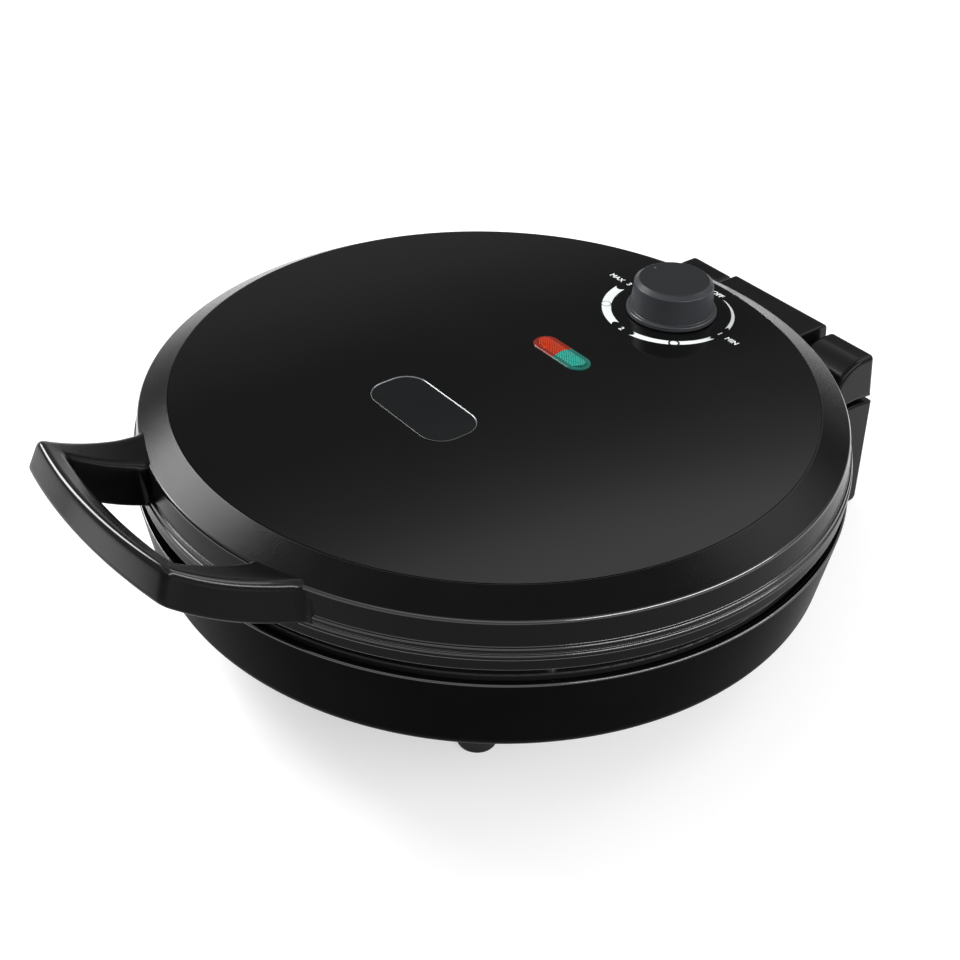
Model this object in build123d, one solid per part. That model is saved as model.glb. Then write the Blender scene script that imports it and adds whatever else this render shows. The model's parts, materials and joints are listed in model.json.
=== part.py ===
from build123d import *
from math import cos, degrees, radians, sin, sqrt
import os

# Electric pizza maker: a round base with a lid that opens on a hinge at the back.
# Millimetres. X is to the right, Y to the back, Z up from the table.
# Every piece is drawn with the cooking plates' centre on the Z axis, and moved back
# at the end so that the whole object's box is centred on the origin.

# Stance
foot_height = 16.0
leg_lift = 1.0

# Base housing
base_rim_radius = 173.7
base_depth = 65.7
base_wall = 2.8
base_taper = 7.1
base_waist_radius = base_rim_radius - base_taper
base_waist_height = 25.5
base_waist_rounding = 10.0
base_tuck_in = 32.6
base_floor_radius = base_waist_radius - base_tuck_in
base_floor_rounding = 4.0
bottom_ledge_width = 38.0
bottom_opening_radius = base_floor_radius - bottom_ledge_width

# Lid rim
lid_gap = 7.2
lid_set_in = 0.8
lid_edge_radius = base_rim_radius - lid_set_in
lid_side_height = 23.6
lid_side_taper = 2.7
shoulder_radius = lid_edge_radius - lid_side_taper
shoulder_rounding = 2.6
bevel_rise = 8.2
bevel_width = 14.4
lid_wall = 2.6
bead_heights = (7.1, 10.2)
bead_size = 1.5
bead_sink = 0.5

# Lid panel and what shows on it
panel_gap = 0.5
panel_radius = shoulder_radius - bevel_width - panel_gap
panel_thickness = 2.0
panel_ledge = 9.0
nameplate_length = 59.0
nameplate_width = 30.6
nameplate_corner = 12.0
nameplate_y = -43.0
nameplate_recess = 0.5
nameplate_thickness = 0.8
pill_length = 36.4
pill_width = 13.4
pill_y = 42.0
pill_flange = 1.1
pill_flange_height = 0.7
pill_throat_depth = 3.4
lens_dome = 1.0
lens_height = 3.4
lamp_tray_wall = 1.5
lamp_tray_side = 2.0
lamp_tray_length = pill_length + 2 * lamp_tray_wall
lamp_tray_width = pill_width + 2 * lamp_tray_side
lamp_divider = 1.4
lamp_radius = 2.2
lamp_length = 12.0
lamp_x = 9.0

# Ledges and cooking plates
ledge_set_in = 15.2
ledge_inner_radius = base_rim_radius - ledge_set_in
ledge_thickness = 2.2
base_ledge_drop = 1.9
lid_ledge_rise = 1.0
plate_flange_overlap = 10.0
plate_flange_radius = ledge_inner_radius + plate_flange_overlap
plate_thickness = 3.0
pan_mouth_set_in = 5.5
pan_side_slope = 7.0
pan_mouth_radius = ledge_inner_radius - pan_mouth_set_in
pan_floor_radius = pan_mouth_radius - pan_side_slope
pan_rounding = 5.0
plate_edge_rounding = 0.6
lip_width = 3.5
parting_gap = 0.3
lower_pan_depth = 12.0
upper_pan_depth = 10.0

# Heating elements and heat shields
element_set_in = 58.0
element_radius = pan_floor_radius - element_set_in
element_tube = 6.6
element_gap_angle = 28.0
element_bend = 8.0
lower_lead = 11.0
upper_lead = 3.5
clamp_width = 10.0
clamp_thickness = 1.2
clamp_length = 24.0
clamp_angles = (-30.0, 210.0, 270.0)
shield_thickness = 1.0
shield_gap = 1.1
shield_slope = 7.4
shield_radius = ledge_inner_radius - shield_gap
shield_floor_radius = shield_radius - shield_slope
lower_shield_drop = 12.0
upper_shield_rise = 8.2
shield_rounding = 4.0
post_radius = 5.0
post_set_in = 25.0
post_circle_radius = shield_floor_radius - post_set_in
lead_hole_radius = 7.0

# Thermostat and knob
knob_from_element = 28.0
knob_y = element_radius + knob_from_element
shaft_radius = 3.0
shaft_flat = 1.9
running_clearance = 0.05
thermostat_length = 34.0
thermostat_width = 28.0
thermostat_height = 12.0
thermostat_corner = 4.0
tab_x = 11.3
tab_width = 6.3
tab_length = 8.0
tab_thickness = 0.8
bush_radius = 5.0
shaft_seat = 6.0
bracket_length = 52.0
bracket_width = 14.0
bracket_thickness = 1.5
knob_lift = 0.6
knob_height = 18.0
knob_skirt_radius = 23.4
knob_skirt_height = 2.6
knob_base_radius = 21.6
knob_top_radius = 20.0
knob_face_radius = 17.9
knob_chamfer = 1.5
knob_wall = 2.2
knob_boss_radius = 6.0
knob_rib = 1.6
knob_rib_height = 6.0
knob_dot_radius = 0.8
knob_dot_reach = 14.4
knob_dot_depth = 0.4
shaft_in_knob = 12.0

# Handle loop, moulded with the rim; its walls spread as they go down
grip_half_width = 47.7
handle_arm_width = 8.1
handle_arm_splay = 4.8
handle_flare = 5.4
handle_corner_x = grip_half_width + handle_arm_width
handle_root_x = handle_corner_x + handle_arm_splay
handle_flare_x = handle_root_x + handle_flare
handle_corner_reach = 35.3
handle_root_sink = 7.7
handle_flare_sink = 37.7
handle_corner_y = -base_rim_radius - handle_corner_reach
handle_root_y = -base_rim_radius + handle_root_sink
handle_flare_y = -base_rim_radius + handle_flare_sink
handle_corner_height = 57.3
handle_bow = 6.0
handle_corner_rounding = 4.0
handle_flare_rounding = 24.0
handle_draft = 0.19
handle_lean = 0.17
grip_bar_width = 5.0
grip_front_y = handle_corner_y + grip_bar_width
grip_side_draft = 0.24
grip_front_draft = 0.34
grip_corner_rounding = 5.0
grip_root_spread = 9.0
handle_smile = 4.0
handle_stock_above = 12.0
handle_stock_below = 60.0

# Where the handle's top and its underside pass, as (reach beyond the base's rim, height above it)
handle_top_curve = ((-19.7, 30.7), (10.3, 41.7), (35.3, 57.4))
handle_under_curve = ((-23.7, 9.3), (8.3, 20.5), (40.3, 41.1))

# Hinge blocks at the back
hinge_reach = 16.8
hinge_y = base_rim_radius + hinge_reach
hinge_drop = 5.9
hinge_shaft_radius = 4.0
ear_inner_x = 37.0
ear_outer_x = 68.0
ear_cap_wall = 8.0
ear_front_reach = 16.2
ear_back_reach = 15.9
ear_back_lean = 4.0
hinge_shaft_half = ear_outer_x - ear_cap_wall
ear_front_y = hinge_y - ear_front_reach
ear_back_y = hinge_y + ear_back_reach
ear_top_back_y = ear_back_y - ear_back_lean
ear_rise = 14.2
ear_front_rounding = 19.5
ear_back_rounding = 3.0
ear_edge_rounding = 2.4
slit_below_shaft = 11.8
slit_crown = 1.9
slit_height = 2.3
spigot_length = 18.0
spigot_half_x = 9.5
spigot_half_y = 9.0
spigot_clearance = 0.15
ear_screw_shelf = 8.0
leg_back_step = 0.6
leg_back_y = ear_back_y + leg_back_step
leg_back_lean = 2.0
leg_back_rounding = 3.5
leg_toe_depth = 35.0
leg_toe_y = leg_back_y - leg_toe_depth
leg_toe_rounding = 4.0
leg_root_sink = 32.1
leg_root_y = base_rim_radius - leg_root_sink
leg_root_drop = 8.0
washer_space = 3.0
arm_half_width = ear_inner_x - washer_space
arm_rise = 17.0
arm_knuckle = 13.5
arm_back_reach = 11.8
arm_back_y = hinge_y + arm_back_reach
arm_under = 6.6
arm_running = 0.06
washer_radius = 8.0
washer_play = 0.3

# Bottom cover, feet and inlet
cover_overlap = 8.0
cover_thickness = 2.0
cover_dish = 3.0
cover_dish_margin = 14.0
vent_count = 20
vent_length = 24.0
vent_width = 3.2
vent_set_in = 38.0
vent_circle_radius = bottom_opening_radius - vent_set_in
foot_set_in = 12.7
foot_angle = 40.65
foot_x = (base_floor_radius - foot_set_in) * cos(radians(foot_angle))
foot_y = (base_floor_radius - foot_set_in) * sin(radians(foot_angle))
foot_radius = 9.3
foot_top_radius = 10.2
foot_rounding = 1.6
inlet_rise = 35.0
inlet_boss_radius = 11.0
inlet_boss_root = 10.0
inlet_boss_set_in = 1.2
inlet_boss_y = base_rim_radius - inlet_boss_set_in
inlet_bush_radius = 6.0
inlet_flange_radius = 9.0
inlet_flange = 2.5
inlet_bore_radius = 3.8

# Small fittings inside
terminal_y = 20.0
terminal_length = 42.0
terminal_width = 18.0
terminal_height = 14.0
terminal_pitch = 14.0
terminal_wire_radius = 2.4
terminal_screw_radius = 2.2
fuse_y = -40.0
fuse_radius = 2.0
fuse_length = 12.0
fuse_lead_radius = 0.5
fuse_lead_span = 32.0
fuse_strap_thickness = 0.8
fuse_strap_width = 7.0
fuse_strap_length = 18.0

# Screws
screw_radius = 1.9
screw_hole_clearance = 0.2
screw_head_radius = 3.3
screw_head_height = 1.8
screw_head_rounding = 0.7
counterbore_clearance = 0.9
plate_screw_set_out = 4.8
plate_screw_circle = ledge_inner_radius + plate_screw_set_out
plate_screw_count = 6
arm_screw_pitch = 20.0
arm_screw_stop = 8.0
arm_thread_stop = 6.0

# Small clearance between pieces that lie in one another
seat_clearance = 0.2

# Heights that follow from the sizes above
underside_z = foot_height
base_rim_z = underside_z + base_depth
base_waist_z = underside_z + base_waist_height
lid_edge_z = base_rim_z + lid_gap
shoulder_z = lid_edge_z + lid_side_height
panel_top_z = shoulder_z + bevel_rise
panel_under_z = panel_top_z - panel_thickness
base_ledge_z = base_rim_z - base_ledge_drop
lid_ledge_z = lid_edge_z + lid_ledge_rise
lower_flange_z = base_ledge_z + plate_thickness
upper_flange_z = lid_ledge_z - plate_thickness
lip_height = (upper_flange_z - lower_flange_z - parting_gap) / 2
lower_plate_under_z = lower_flange_z - lower_pan_depth - plate_thickness
upper_plate_top_z = upper_flange_z + upper_pan_depth + plate_thickness
lower_shield_z = lower_plate_under_z - lower_shield_drop
upper_shield_z = upper_plate_top_z + upper_shield_rise
lamp_tray_z = upper_shield_z + shield_thickness + seat_clearance
hinge_z = lid_edge_z - hinge_drop
slit_z = hinge_z - slit_below_shaft
cover_top_z = underside_z - cover_dish
inlet_height = underside_z + inlet_rise
knob_under_z = panel_top_z + knob_lift
handle_corner_z = base_rim_z + handle_corner_height
handle_drop = handle_top_curve[2][1] - handle_under_curve[2][1]
handle_reach = -handle_corner_y + handle_bow + (handle_draft + handle_lean) * handle_drop
axis_y = (handle_reach - leg_back_y - leg_back_lean) / 2


def turned(*corners):
    """Solid turned about the Z axis from (radius, height) or (radius, height, rounding) corners."""
    points = [(corner[0], 0, corner[1]) for corner in corners]
    roundings = [corner[2] if len(corner) > 2 else 0 for corner in corners]
    outline = FilletPolyline(*points, radius=roundings, close=True)
    return revolve(make_face(outline), Axis.Z)


def upright(x, y, low, high, radius):
    """Round rod or hole along Z between two heights."""
    return Pos(x, y, (low + high) / 2) * Cylinder(radius, high - low)


def across(y, z, low, high, radius):
    """Round rod or hole along X between two places."""
    return Pos((low + high) / 2, y, z) * Rot(0, 90, 0) * Cylinder(radius, high - low)


def lengthwise(x, z, front, back, radius):
    """Round rod or hole along Y between two places."""
    return Pos(x, (front + back) / 2, z) * Rot(90, 0, 0) * Cylinder(radius, back - front)


def side_slab(outline, low_x, high_x):
    """Slab from an outline of (y, z) edges, between two places along X."""
    return extrude(make_face(outline), amount=high_x - low_x, dir=(1, 0, 0)).moved(
        Location((low_x, 0, 0))
    )


def ring_places(count, radius, start_angle):
    """Evenly spaced (x, y) places on a circle."""
    angles = [radians(start_angle + 360 * i / count) for i in range(count)]
    return [(radius * cos(a), radius * sin(a)) for a in angles]


def base_outer_radius(height):
    """Radius of the base's tapered side at a height above the table."""
    share = (height - base_waist_z) / (base_rim_z - base_waist_z)
    return base_waist_radius + share * (base_rim_radius - base_waist_radius)


def lid_outer_radius(height):
    """Radius of the lid's flared side at a height above the table."""
    share = (height - lid_edge_z) / lid_side_height
    return lid_edge_radius + share * (shoulder_radius - lid_edge_radius)


plate_screws_low_at = ring_places(plate_screw_count, plate_screw_circle, 30)
plate_screws_high_at = ring_places(plate_screw_count, plate_screw_circle, 0)
post_places = ring_places(4, post_circle_radius, 45)
cover_screw_places = ring_places(4, bottom_opening_radius + cover_overlap / 2, 0)
foot_places = [(x, y) for x in (-foot_x, foot_x) for y in (-foot_y, foot_y)]
element_lead_x = element_radius * sin(radians(element_gap_angle / 2)) - element_bend * cos(
    radians(element_gap_angle / 2)
)
element_lead_y = element_radius * cos(radians(element_gap_angle / 2)) + element_bend * sin(
    radians(element_gap_angle / 2)
)


# Hinge legs: two hollow-looking blocks that run from the slit down to the table
def slit_curve(lower_by):
    """Crowned line of the slit seen from the side, from the front to the back."""
    z = slit_z - lower_by
    middle_y = (ear_front_y + ear_back_y) / 2
    ends = ((0, ear_front_y, z - slit_crown), (0, leg_back_y, z - slit_crown))
    return ThreePointArc(ends[0], (0, middle_y, z), ends[1])


def hinge_leg(side):
    crown = slit_curve(slit_height)
    front_top = crown @ 0
    back_top = crown @ 1
    toe_z = leg_lift
    path = FilletPolyline(
        back_top,
        (0, leg_back_y + leg_back_lean, toe_z),
        (0, leg_toe_y, toe_z),
        (0, leg_root_y, base_waist_z - leg_root_drop),
        (0, leg_root_y, front_top.Z),
        front_top,
        radius=[leg_back_rounding, leg_toe_rounding, 0, 0],
    )
    leg = side_slab(crown.edges() + path.edges(), ear_inner_x, ear_outer_x)
    outer_edges = leg.faces().sort_by(Axis.X)[-1].edges().filter_by(Axis.X, reverse=True)
    back_edges = [e for e in outer_edges if e.center().Y > leg_toe_y and e.center().Z < front_top.Z - 6]
    leg = fillet(back_edges, ear_edge_rounding)
    return leg if side > 0 else mirror(leg, Plane.YZ)


# Base housing: the moulded bowl with its plate ledge, shield posts, hinge legs and inlet boss
def base_housing():
    rim = base_rim_radius
    wall = base_wall
    ledge_under = base_ledge_z - ledge_thickness
    bowl = turned(
        (bottom_opening_radius, underside_z),
        (base_floor_radius, underside_z, base_floor_rounding),
        (base_waist_radius, base_waist_z, base_waist_rounding),
        (rim, base_rim_z, 0.8),
        (base_outer_radius(base_rim_z) - wall, base_rim_z, 0.8),
        (base_outer_radius(base_ledge_z) - wall, base_ledge_z),
        (ledge_inner_radius, base_ledge_z),
        (ledge_inner_radius, ledge_under),
        (base_outer_radius(ledge_under) - wall, ledge_under),
        (base_waist_radius - wall, base_waist_z + wall / 2, base_waist_rounding - wall),
        (base_floor_radius - wall / 3, underside_z + wall),
        (bottom_opening_radius, underside_z + wall),
    )
    core = turned(
        (0, underside_z + wall / 2),
        (base_floor_radius - wall / 6, underside_z + wall / 2),
        (base_waist_radius - wall / 2, base_waist_z + wall / 4, base_waist_rounding - wall / 2),
        (rim - wall / 2, base_rim_z),
        (0, base_rim_z),
    )
    housing = bowl
    for side in (-1, 1):
        housing += hinge_leg(side) - core
    boss = lengthwise(0, inlet_height, base_waist_radius - inlet_boss_root, inlet_boss_y, inlet_boss_radius)
    housing += boss - core
    for x, y in post_places:
        housing += upright(x, y, underside_z + wall / 2, lower_shield_z, post_radius)
    for x, y in post_places:
        housing -= upright(x, y, underside_z + 2 * wall, lower_shield_z + 1, screw_radius)
    housing -= lengthwise(
        0,
        inlet_height,
        base_waist_radius - 2 * inlet_boss_root,
        inlet_boss_y + inlet_boss_root,
        inlet_bush_radius + seat_clearance,
    )
    hole = screw_radius + screw_hole_clearance
    for x, y in plate_screws_low_at:
        housing -= upright(x, y, ledge_under - 1, base_ledge_z + 1, hole)
    for x, y in cover_screw_places + foot_places:
        housing -= upright(x, y, underside_z - 1, underside_z + wall + 1, hole)
    for side in (-1, 1):
        x = side * (ear_inner_x + ear_outer_x) / 2
        pocket = Pos(x, hinge_y, slit_z - slit_height - spigot_length / 2 + 2) * Box(
            2 * (spigot_half_x + spigot_clearance),
            2 * (spigot_half_y + spigot_clearance),
            spigot_length + 4,
        )
        housing -= pocket
        housing -= upright(
            x, hinge_y, leg_lift - 1, ear_screw_seat_z(), screw_head_radius + counterbore_clearance
        )
        housing -= upright(x, hinge_y, ear_screw_seat_z() - 1, slit_z - spigot_length, hole)
    return housing


def ear_screw_seat_z():
    """Height of the shelf inside a leg on which the ear's screw head bears."""
    return slit_z - slit_height - spigot_length - ear_screw_shelf


# Hinge ears: the upper halves of the blocks, which hold the hinge shaft
def hinge_ear(side):
    crown = slit_curve(0)
    front = crown @ 0
    top_z = hinge_z + ear_rise
    back_share = (ear_back_y - ear_front_y) / (leg_back_y - ear_front_y)
    back = crown @ back_share
    path = FilletPolyline(
        back,
        (0, ear_top_back_y, top_z),
        (0, ear_front_y, top_z),
        front,
        radius=[ear_back_rounding, ear_front_rounding],
    )
    under = ThreePointArc(front, crown @ (back_share / 2), back)
    ear = side_slab(under.edges() + path.edges(), ear_inner_x, ear_outer_x)
    outline = ear.faces().sort_by(Axis.X)[-1].edges()
    rounded = [e for e in outline if e.center().Z > slit_z + 2]
    ear = fillet(rounded, ear_edge_rounding)
    x = (ear_inner_x + ear_outer_x) / 2
    foot_z = slit_z - slit_height - spigot_length
    spigot = Pos(x, hinge_y, (foot_z + slit_z + 1) / 2) * Box(
        2 * spigot_half_x, 2 * spigot_half_y, slit_z + 1 - foot_z
    )
    ear += spigot
    ear -= across(
        hinge_y, hinge_z, ear_inner_x - 1, hinge_shaft_half + 0.3, hinge_shaft_radius + running_clearance
    )
    ear -= upright(x, hinge_y, foot_z - 1, slit_z - 1, screw_radius)
    return ear if side > 0 else mirror(ear, Plane.YZ)


# Lid rim: bevel, double bead and ledges, with the handle loop moulded on at the front
def lid_ring():
    wall = lid_wall
    ledge_top = lid_ledge_z + ledge_thickness
    recess = panel_radius + panel_gap
    ledge_under = panel_under_z - wall
    return turned(
        (recess, panel_under_z),
        (recess, panel_top_z, 0.4),
        (shoulder_radius, shoulder_z, shoulder_rounding),
        (lid_edge_radius, lid_edge_z, 0.7),
        (lid_outer_radius(lid_edge_z) - wall, lid_edge_z, 0.7),
        (lid_outer_radius(lid_ledge_z) - wall, lid_ledge_z),
        (ledge_inner_radius, lid_ledge_z),
        (ledge_inner_radius, ledge_top),
        (lid_outer_radius(ledge_top) - wall, ledge_top),
        (shoulder_radius - wall, shoulder_z - wall / 2),
        (recess, ledge_under),
        (panel_radius - panel_ledge, ledge_under),
        (panel_radius - panel_ledge, panel_under_z),
    )


def lid_beads():
    beads = []
    for height in bead_heights:
        z = lid_edge_z + height
        radius = lid_outer_radius(z) - bead_sink
        beads.append(Pos(0, 0, z) * Torus(radius, bead_size))
    return beads


def lid_core():
    """Everything inside the rim's outer skin, which keeps the handle out of the lid."""
    inset = lid_wall / 2
    return turned(
        (0, lid_edge_z - handle_stock_below / 2),
        (lid_edge_radius - inset, lid_edge_z - handle_stock_below / 2),
        (lid_edge_radius - inset, lid_edge_z),
        (shoulder_radius - inset, shoulder_z - inset / 2),
        (panel_radius + panel_gap, panel_top_z - inset),
        (0, panel_top_z - inset),
    )


def handle_outline(height):
    """Outer edge of the handle at a height: two splayed arms, flared at the rim, and a bowed bar."""
    drop = handle_corner_z - height
    spread = handle_draft * drop
    forward = -handle_lean * drop
    flare = (-handle_flare_x - spread, handle_flare_y + forward, height)
    root = (-handle_root_x - spread, handle_root_y + forward, height)
    corner = (-handle_corner_x - spread, handle_corner_y - spread + forward, height)
    left = FilletPolyline(flare, root, corner, radius=[handle_flare_rounding])
    middle = (0, corner[1] - handle_bow, height)
    bar = ThreePointArc(corner, middle, (-corner[0], corner[1], height))
    back = Line(flare, (-flare[0], flare[1], height))
    face = make_face(left.edges() + left.mirror(Plane.YZ).edges() + bar.edges() + back.edges())
    return fillet(face.vertices().sort_by(Axis.Y)[:2], handle_corner_rounding)


def grip_outline(height):
    """The finger gap at a height; it narrows downwards."""
    drop = handle_corner_z - height
    half = grip_half_width - grip_side_draft * drop
    front = grip_front_y + grip_front_draft * drop
    root = half + grip_root_spread
    corner = (half, front, height)
    bar = ThreePointArc((-half, front, height), (0, front - handle_bow / 2, height), corner)
    sides = Polyline(
        corner, (root, handle_flare_y, height), (-root, handle_flare_y, height), (-half, front, height)
    )
    face = make_face(bar.edges() + sides.edges())
    return fillet(face.vertices().sort_by(Axis.Y)[:2], grip_corner_rounding)


def handle_band():
    """The space between the handle's top and underside, bent so that the bar's middle hangs lower."""
    lowered = base_rim_z - handle_smile
    rim = base_rim_radius
    top = ThreePointArc(*[(0, -rim - reach, lowered + height) for reach, height in handle_top_curve])
    under = ThreePointArc(*[(0, -rim - reach, lowered + height) for reach, height in handle_under_curve])
    front_y = -handle_reach - 10
    top_end = top @ 1 + (top % 1) * ((front_y - (top @ 1).Y) / (top % 1).Y)
    under_end = under @ 1 + (under % 1) * ((front_y - (under @ 1).Y) / (under % 1).Y)
    top_back = (0, handle_flare_y, (top @ 0).Z)
    under_back = (0, handle_flare_y, (under @ 0).Z)
    rest = Polyline(top @ 0, top_back, under_back, under @ 0)
    nose = Polyline(top @ 1, top_end, under_end, under @ 1)
    face = make_face(top.edges() + under.edges() + rest.edges() + nose.edges())
    bend_radius = handle_corner_x * handle_corner_x / (2 * handle_smile)
    axis = Axis((0, 0, shoulder_z + bend_radius), (0, 1, 0))
    half_turn = degrees(1.8 * handle_flare_x / bend_radius)
    return revolve(face.rotate(axis, -half_turn), axis, 2 * half_turn)


def handle_loop():
    high = handle_corner_z + handle_stock_above
    low = handle_corner_z - handle_stock_below
    outer = loft([handle_outline(high), handle_outline(low)], ruled=True)
    gap = loft([grip_outline(high), grip_outline(low)], ruled=True)
    return (outer - gap) & handle_band()


def lid_rim():
    rim = lid_ring()
    for bead in lid_beads():
        rim += bead
    rim += handle_loop() - lid_core()
    hole = screw_radius + screw_hole_clearance
    for x, y in plate_screws_high_at:
        rim -= upright(x, y, lid_ledge_z - 1, lid_ledge_z + ledge_thickness + 1, hole)
    for x in arm_screw_places():
        rim -= lengthwise(x, arm_screw_z(), arm_screw_seat_y() - 2, hinge_y, hole)
    return rim


# Lid panel: flat gloss disc with its recess and its openings
def pill(length, width):
    return SlotOverall(length, width)


def lid_panel():
    panel = Pos(0, 0, panel_under_z + panel_thickness / 2) * Cylinder(panel_radius, panel_thickness)
    recess = Pos(0, nameplate_y, panel_top_z - nameplate_recess) * RectangleRounded(
        nameplate_length, nameplate_width, nameplate_corner
    )
    panel -= extrude(recess, amount=nameplate_recess + 1)
    slot = Pos(0, pill_y, panel_under_z - 1) * pill(
        pill_length - 2 * pill_flange, pill_width - 2 * pill_flange
    )
    panel -= extrude(slot, amount=panel_thickness + 2)
    panel -= upright(0, knob_y, panel_under_z - 1, panel_top_z + 1, bush_radius + seat_clearance)
    return panel


def nameplate():
    """Bare plate with a bevelled edge, which stands a little proud of the panel."""
    inset = 2 * seat_clearance
    outline = Pos(0, nameplate_y, panel_top_z - nameplate_recess) * RectangleRounded(
        nameplate_length - inset, nameplate_width - inset, nameplate_corner - inset / 2
    )
    plate = extrude(outline, amount=nameplate_thickness)
    return chamfer(plate.faces().sort_by(Axis.Z)[-1].edges(), nameplate_thickness / 3)


# Indicator pill: a bezel with two lenses over two neon lamps in a tray
def lamp_bezel():
    outer = Pos(0, pill_y, panel_top_z) * pill(pill_length, pill_width)
    flange = extrude(outer, amount=pill_flange_height)
    flange = chamfer(flange.faces().sort_by(Axis.Z)[-1].edges(), pill_flange_height / 2)
    inset = 2 * (pill_flange + seat_clearance)
    throat = Pos(0, pill_y, panel_top_z - pill_throat_depth) * pill(pill_length - inset, pill_width - inset)
    bezel = flange + extrude(throat, amount=pill_throat_depth)
    inner = Pos(0, pill_y, panel_top_z - pill_throat_depth - 1) * pill(
        pill_length - inset - 2 * pill_flange, pill_width - inset - 2 * pill_flange
    )
    return bezel - extrude(inner, amount=pill_throat_depth + 5)


def lens(side):
    """One half of the pill, with a low domed face."""
    inset = 2 * (2 * pill_flange + 1.5 * seat_clearance)
    width = pill_width - inset
    length = pill_length - inset
    low = panel_top_z + pill_flange_height - lens_height
    block = extrude(Pos(0, pill_y, low) * pill(length, width), amount=lens_height + lens_dome)
    dome_radius = (width * width / 4 + lens_dome * lens_dome) / (2 * lens_dome)
    top_z = low + lens_height + lens_dome
    block &= across(pill_y, top_z - dome_radius, -length, length, dome_radius)
    half = Pos(side * (length / 2 + seat_clearance / 2), pill_y, low) * Box(length, 2 * width, 8 * lens_height)
    return block & half


def lamp_holder():
    """Tray under the panel with a dividing wall and a cradle for each lamp."""
    low = lamp_tray_z
    wall = lamp_tray_wall
    height = panel_under_z - low
    tray = Pos(0, pill_y, low + height / 2) * Box(lamp_tray_length, lamp_tray_width, height)
    inner = Pos(0, pill_y, low + wall + height / 2) * Box(
        lamp_tray_length - 2 * wall, lamp_tray_width - 2 * wall, height
    )
    divider = Pos(0, pill_y, low + wall / 2 + height / 4) * Box(
        lamp_divider, lamp_tray_width - wall, height / 2
    )
    return tray - inner + divider


def lamp(side):
    """Neon lamp: a glass tube with rounded ends, lying along the pill."""
    axis_z = lamp_tray_z + lamp_tray_wall + seat_clearance + lamp_radius
    tube = across(pill_y, axis_z, -lamp_length / 2, lamp_length / 2, lamp_radius)
    tube = fillet(tube.edges().filter_by(GeomType.CIRCLE), 0.8 * lamp_radius)
    return Pos(side * lamp_x, 0, 0) * tube


# Cooking plates: cast pans with a flange, a raised lip and a sloped side
def cooking_plate(flange_face_z, up, depth):
    """up is 1 for the lower plate, which opens upwards, and -1 for the upper one."""
    z = flange_face_z
    wall = plate_thickness
    floor = z - up * depth
    lip = z + up * lip_height
    lip_outer = pan_mouth_radius + lip_width
    plate = turned(
        (0, floor),
        (0, floor - up * wall),
        (pan_floor_radius + wall / 2, floor - up * wall, pan_rounding + 1),
        (pan_mouth_radius + wall / 3, z - up * wall, 1),
        (plate_flange_radius, z - up * wall),
        (plate_flange_radius, z, plate_edge_rounding),
        (lip_outer + 1, z),
        (lip_outer, lip, plate_edge_rounding),
        (pan_mouth_radius, lip, plate_edge_rounding),
        (pan_floor_radius, floor, pan_rounding),
    )
    places = plate_screws_low_at if up > 0 else plate_screws_high_at
    for x, y in places:
        plate -= upright(x, y, z - wall - 1, z + wall + 1, screw_radius + screw_hole_clearance)
    return plate


# Heating elements: a steel-sheathed tube in an open ring with two bent leads
def heating_element(center_z, up, lead):
    """up is the way that the leads point: -1 in the base, 1 in the lid."""
    half_gap = element_gap_angle / 2
    ring = CenterArc((0, 0, center_z), element_radius, 90 + half_gap, 360 - element_gap_angle)
    edges = list(ring.edges())
    for end, sign in ((0, -1), (1, 1)):
        start = ring @ end
        along = (ring % end) * sign
        rise = Vector(0, 0, up)
        corner = start + along * element_bend + rise * element_bend
        diagonal = element_bend * sin(radians(45))
        middle = start + along * diagonal + rise * (element_bend - diagonal)
        edges.append(ThreePointArc(start, middle, corner).edge())
        edges.append(Line(corner, corner + rise * lead).edge())
    path = Wire(edges)
    profile = Plane(origin=path @ 0, z_dir=path % 0) * Circle(element_tube / 2)
    return sweep(profile, path=path)


def element_clamps(plate_face_z, up):
    """Three straps that hold the tube against the plate; up is -1 under the lower plate."""
    tube = element_tube / 2
    center = plate_face_z + up * (tube + seat_clearance)
    outer = tube + seat_clearance + clamp_thickness
    inner = tube + seat_clearance
    strap = Pos(element_radius, 0, center) * Rot(90, 0, 0) * Cylinder(outer, clamp_width)
    half = Pos(element_radius, 0, (center + plate_face_z) / 2) * Box(
        2 * outer, clamp_width, abs(plate_face_z - center)
    )
    ears = Pos(element_radius, 0, plate_face_z + up * clamp_thickness / 2) * Box(
        clamp_length, clamp_width, clamp_thickness
    )
    strap = strap + half + ears
    strap -= Pos(element_radius, 0, center) * Rot(90, 0, 0) * Cylinder(inner, 2 * clamp_width)
    strap -= Pos(element_radius, 0, (center + plate_face_z) / 2) * Box(
        2 * inner, 2 * clamp_width, abs(plate_face_z - center)
    )
    over = Pos(element_radius, 0, plate_face_z - up * outer) * Box(
        2 * clamp_length, 2 * clamp_length, 2 * outer
    )
    strap -= over
    return Compound([Rot(0, 0, angle) * strap for angle in clamp_angles])


# Heat shields: thin pressed pans behind the elements
def heat_shield(face_z, up, rest_z):
    """Pan whose skirt reaches up to rest_z, the plate's flange, on the element's side."""
    t = shield_thickness
    back = face_z
    front = face_z - up * t
    shield = turned(
        (0, back),
        (shield_floor_radius, back, shield_rounding),
        (shield_radius, rest_z),
        (shield_radius - t, rest_z),
        (shield_floor_radius - t, front, shield_rounding - t),
        (0, front),
    )
    for x in (-element_lead_x, element_lead_x):
        shield -= upright(x, element_lead_y, face_z - 3, face_z + 3, lead_hole_radius)
    return shield


def lower_reflector():
    shield = heat_shield(lower_shield_z, -1, base_ledge_z)
    for x, y in post_places:
        shield -= upright(x, y, lower_shield_z - 2, lower_shield_z + 3, screw_radius + screw_hole_clearance)
    return shield


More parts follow.
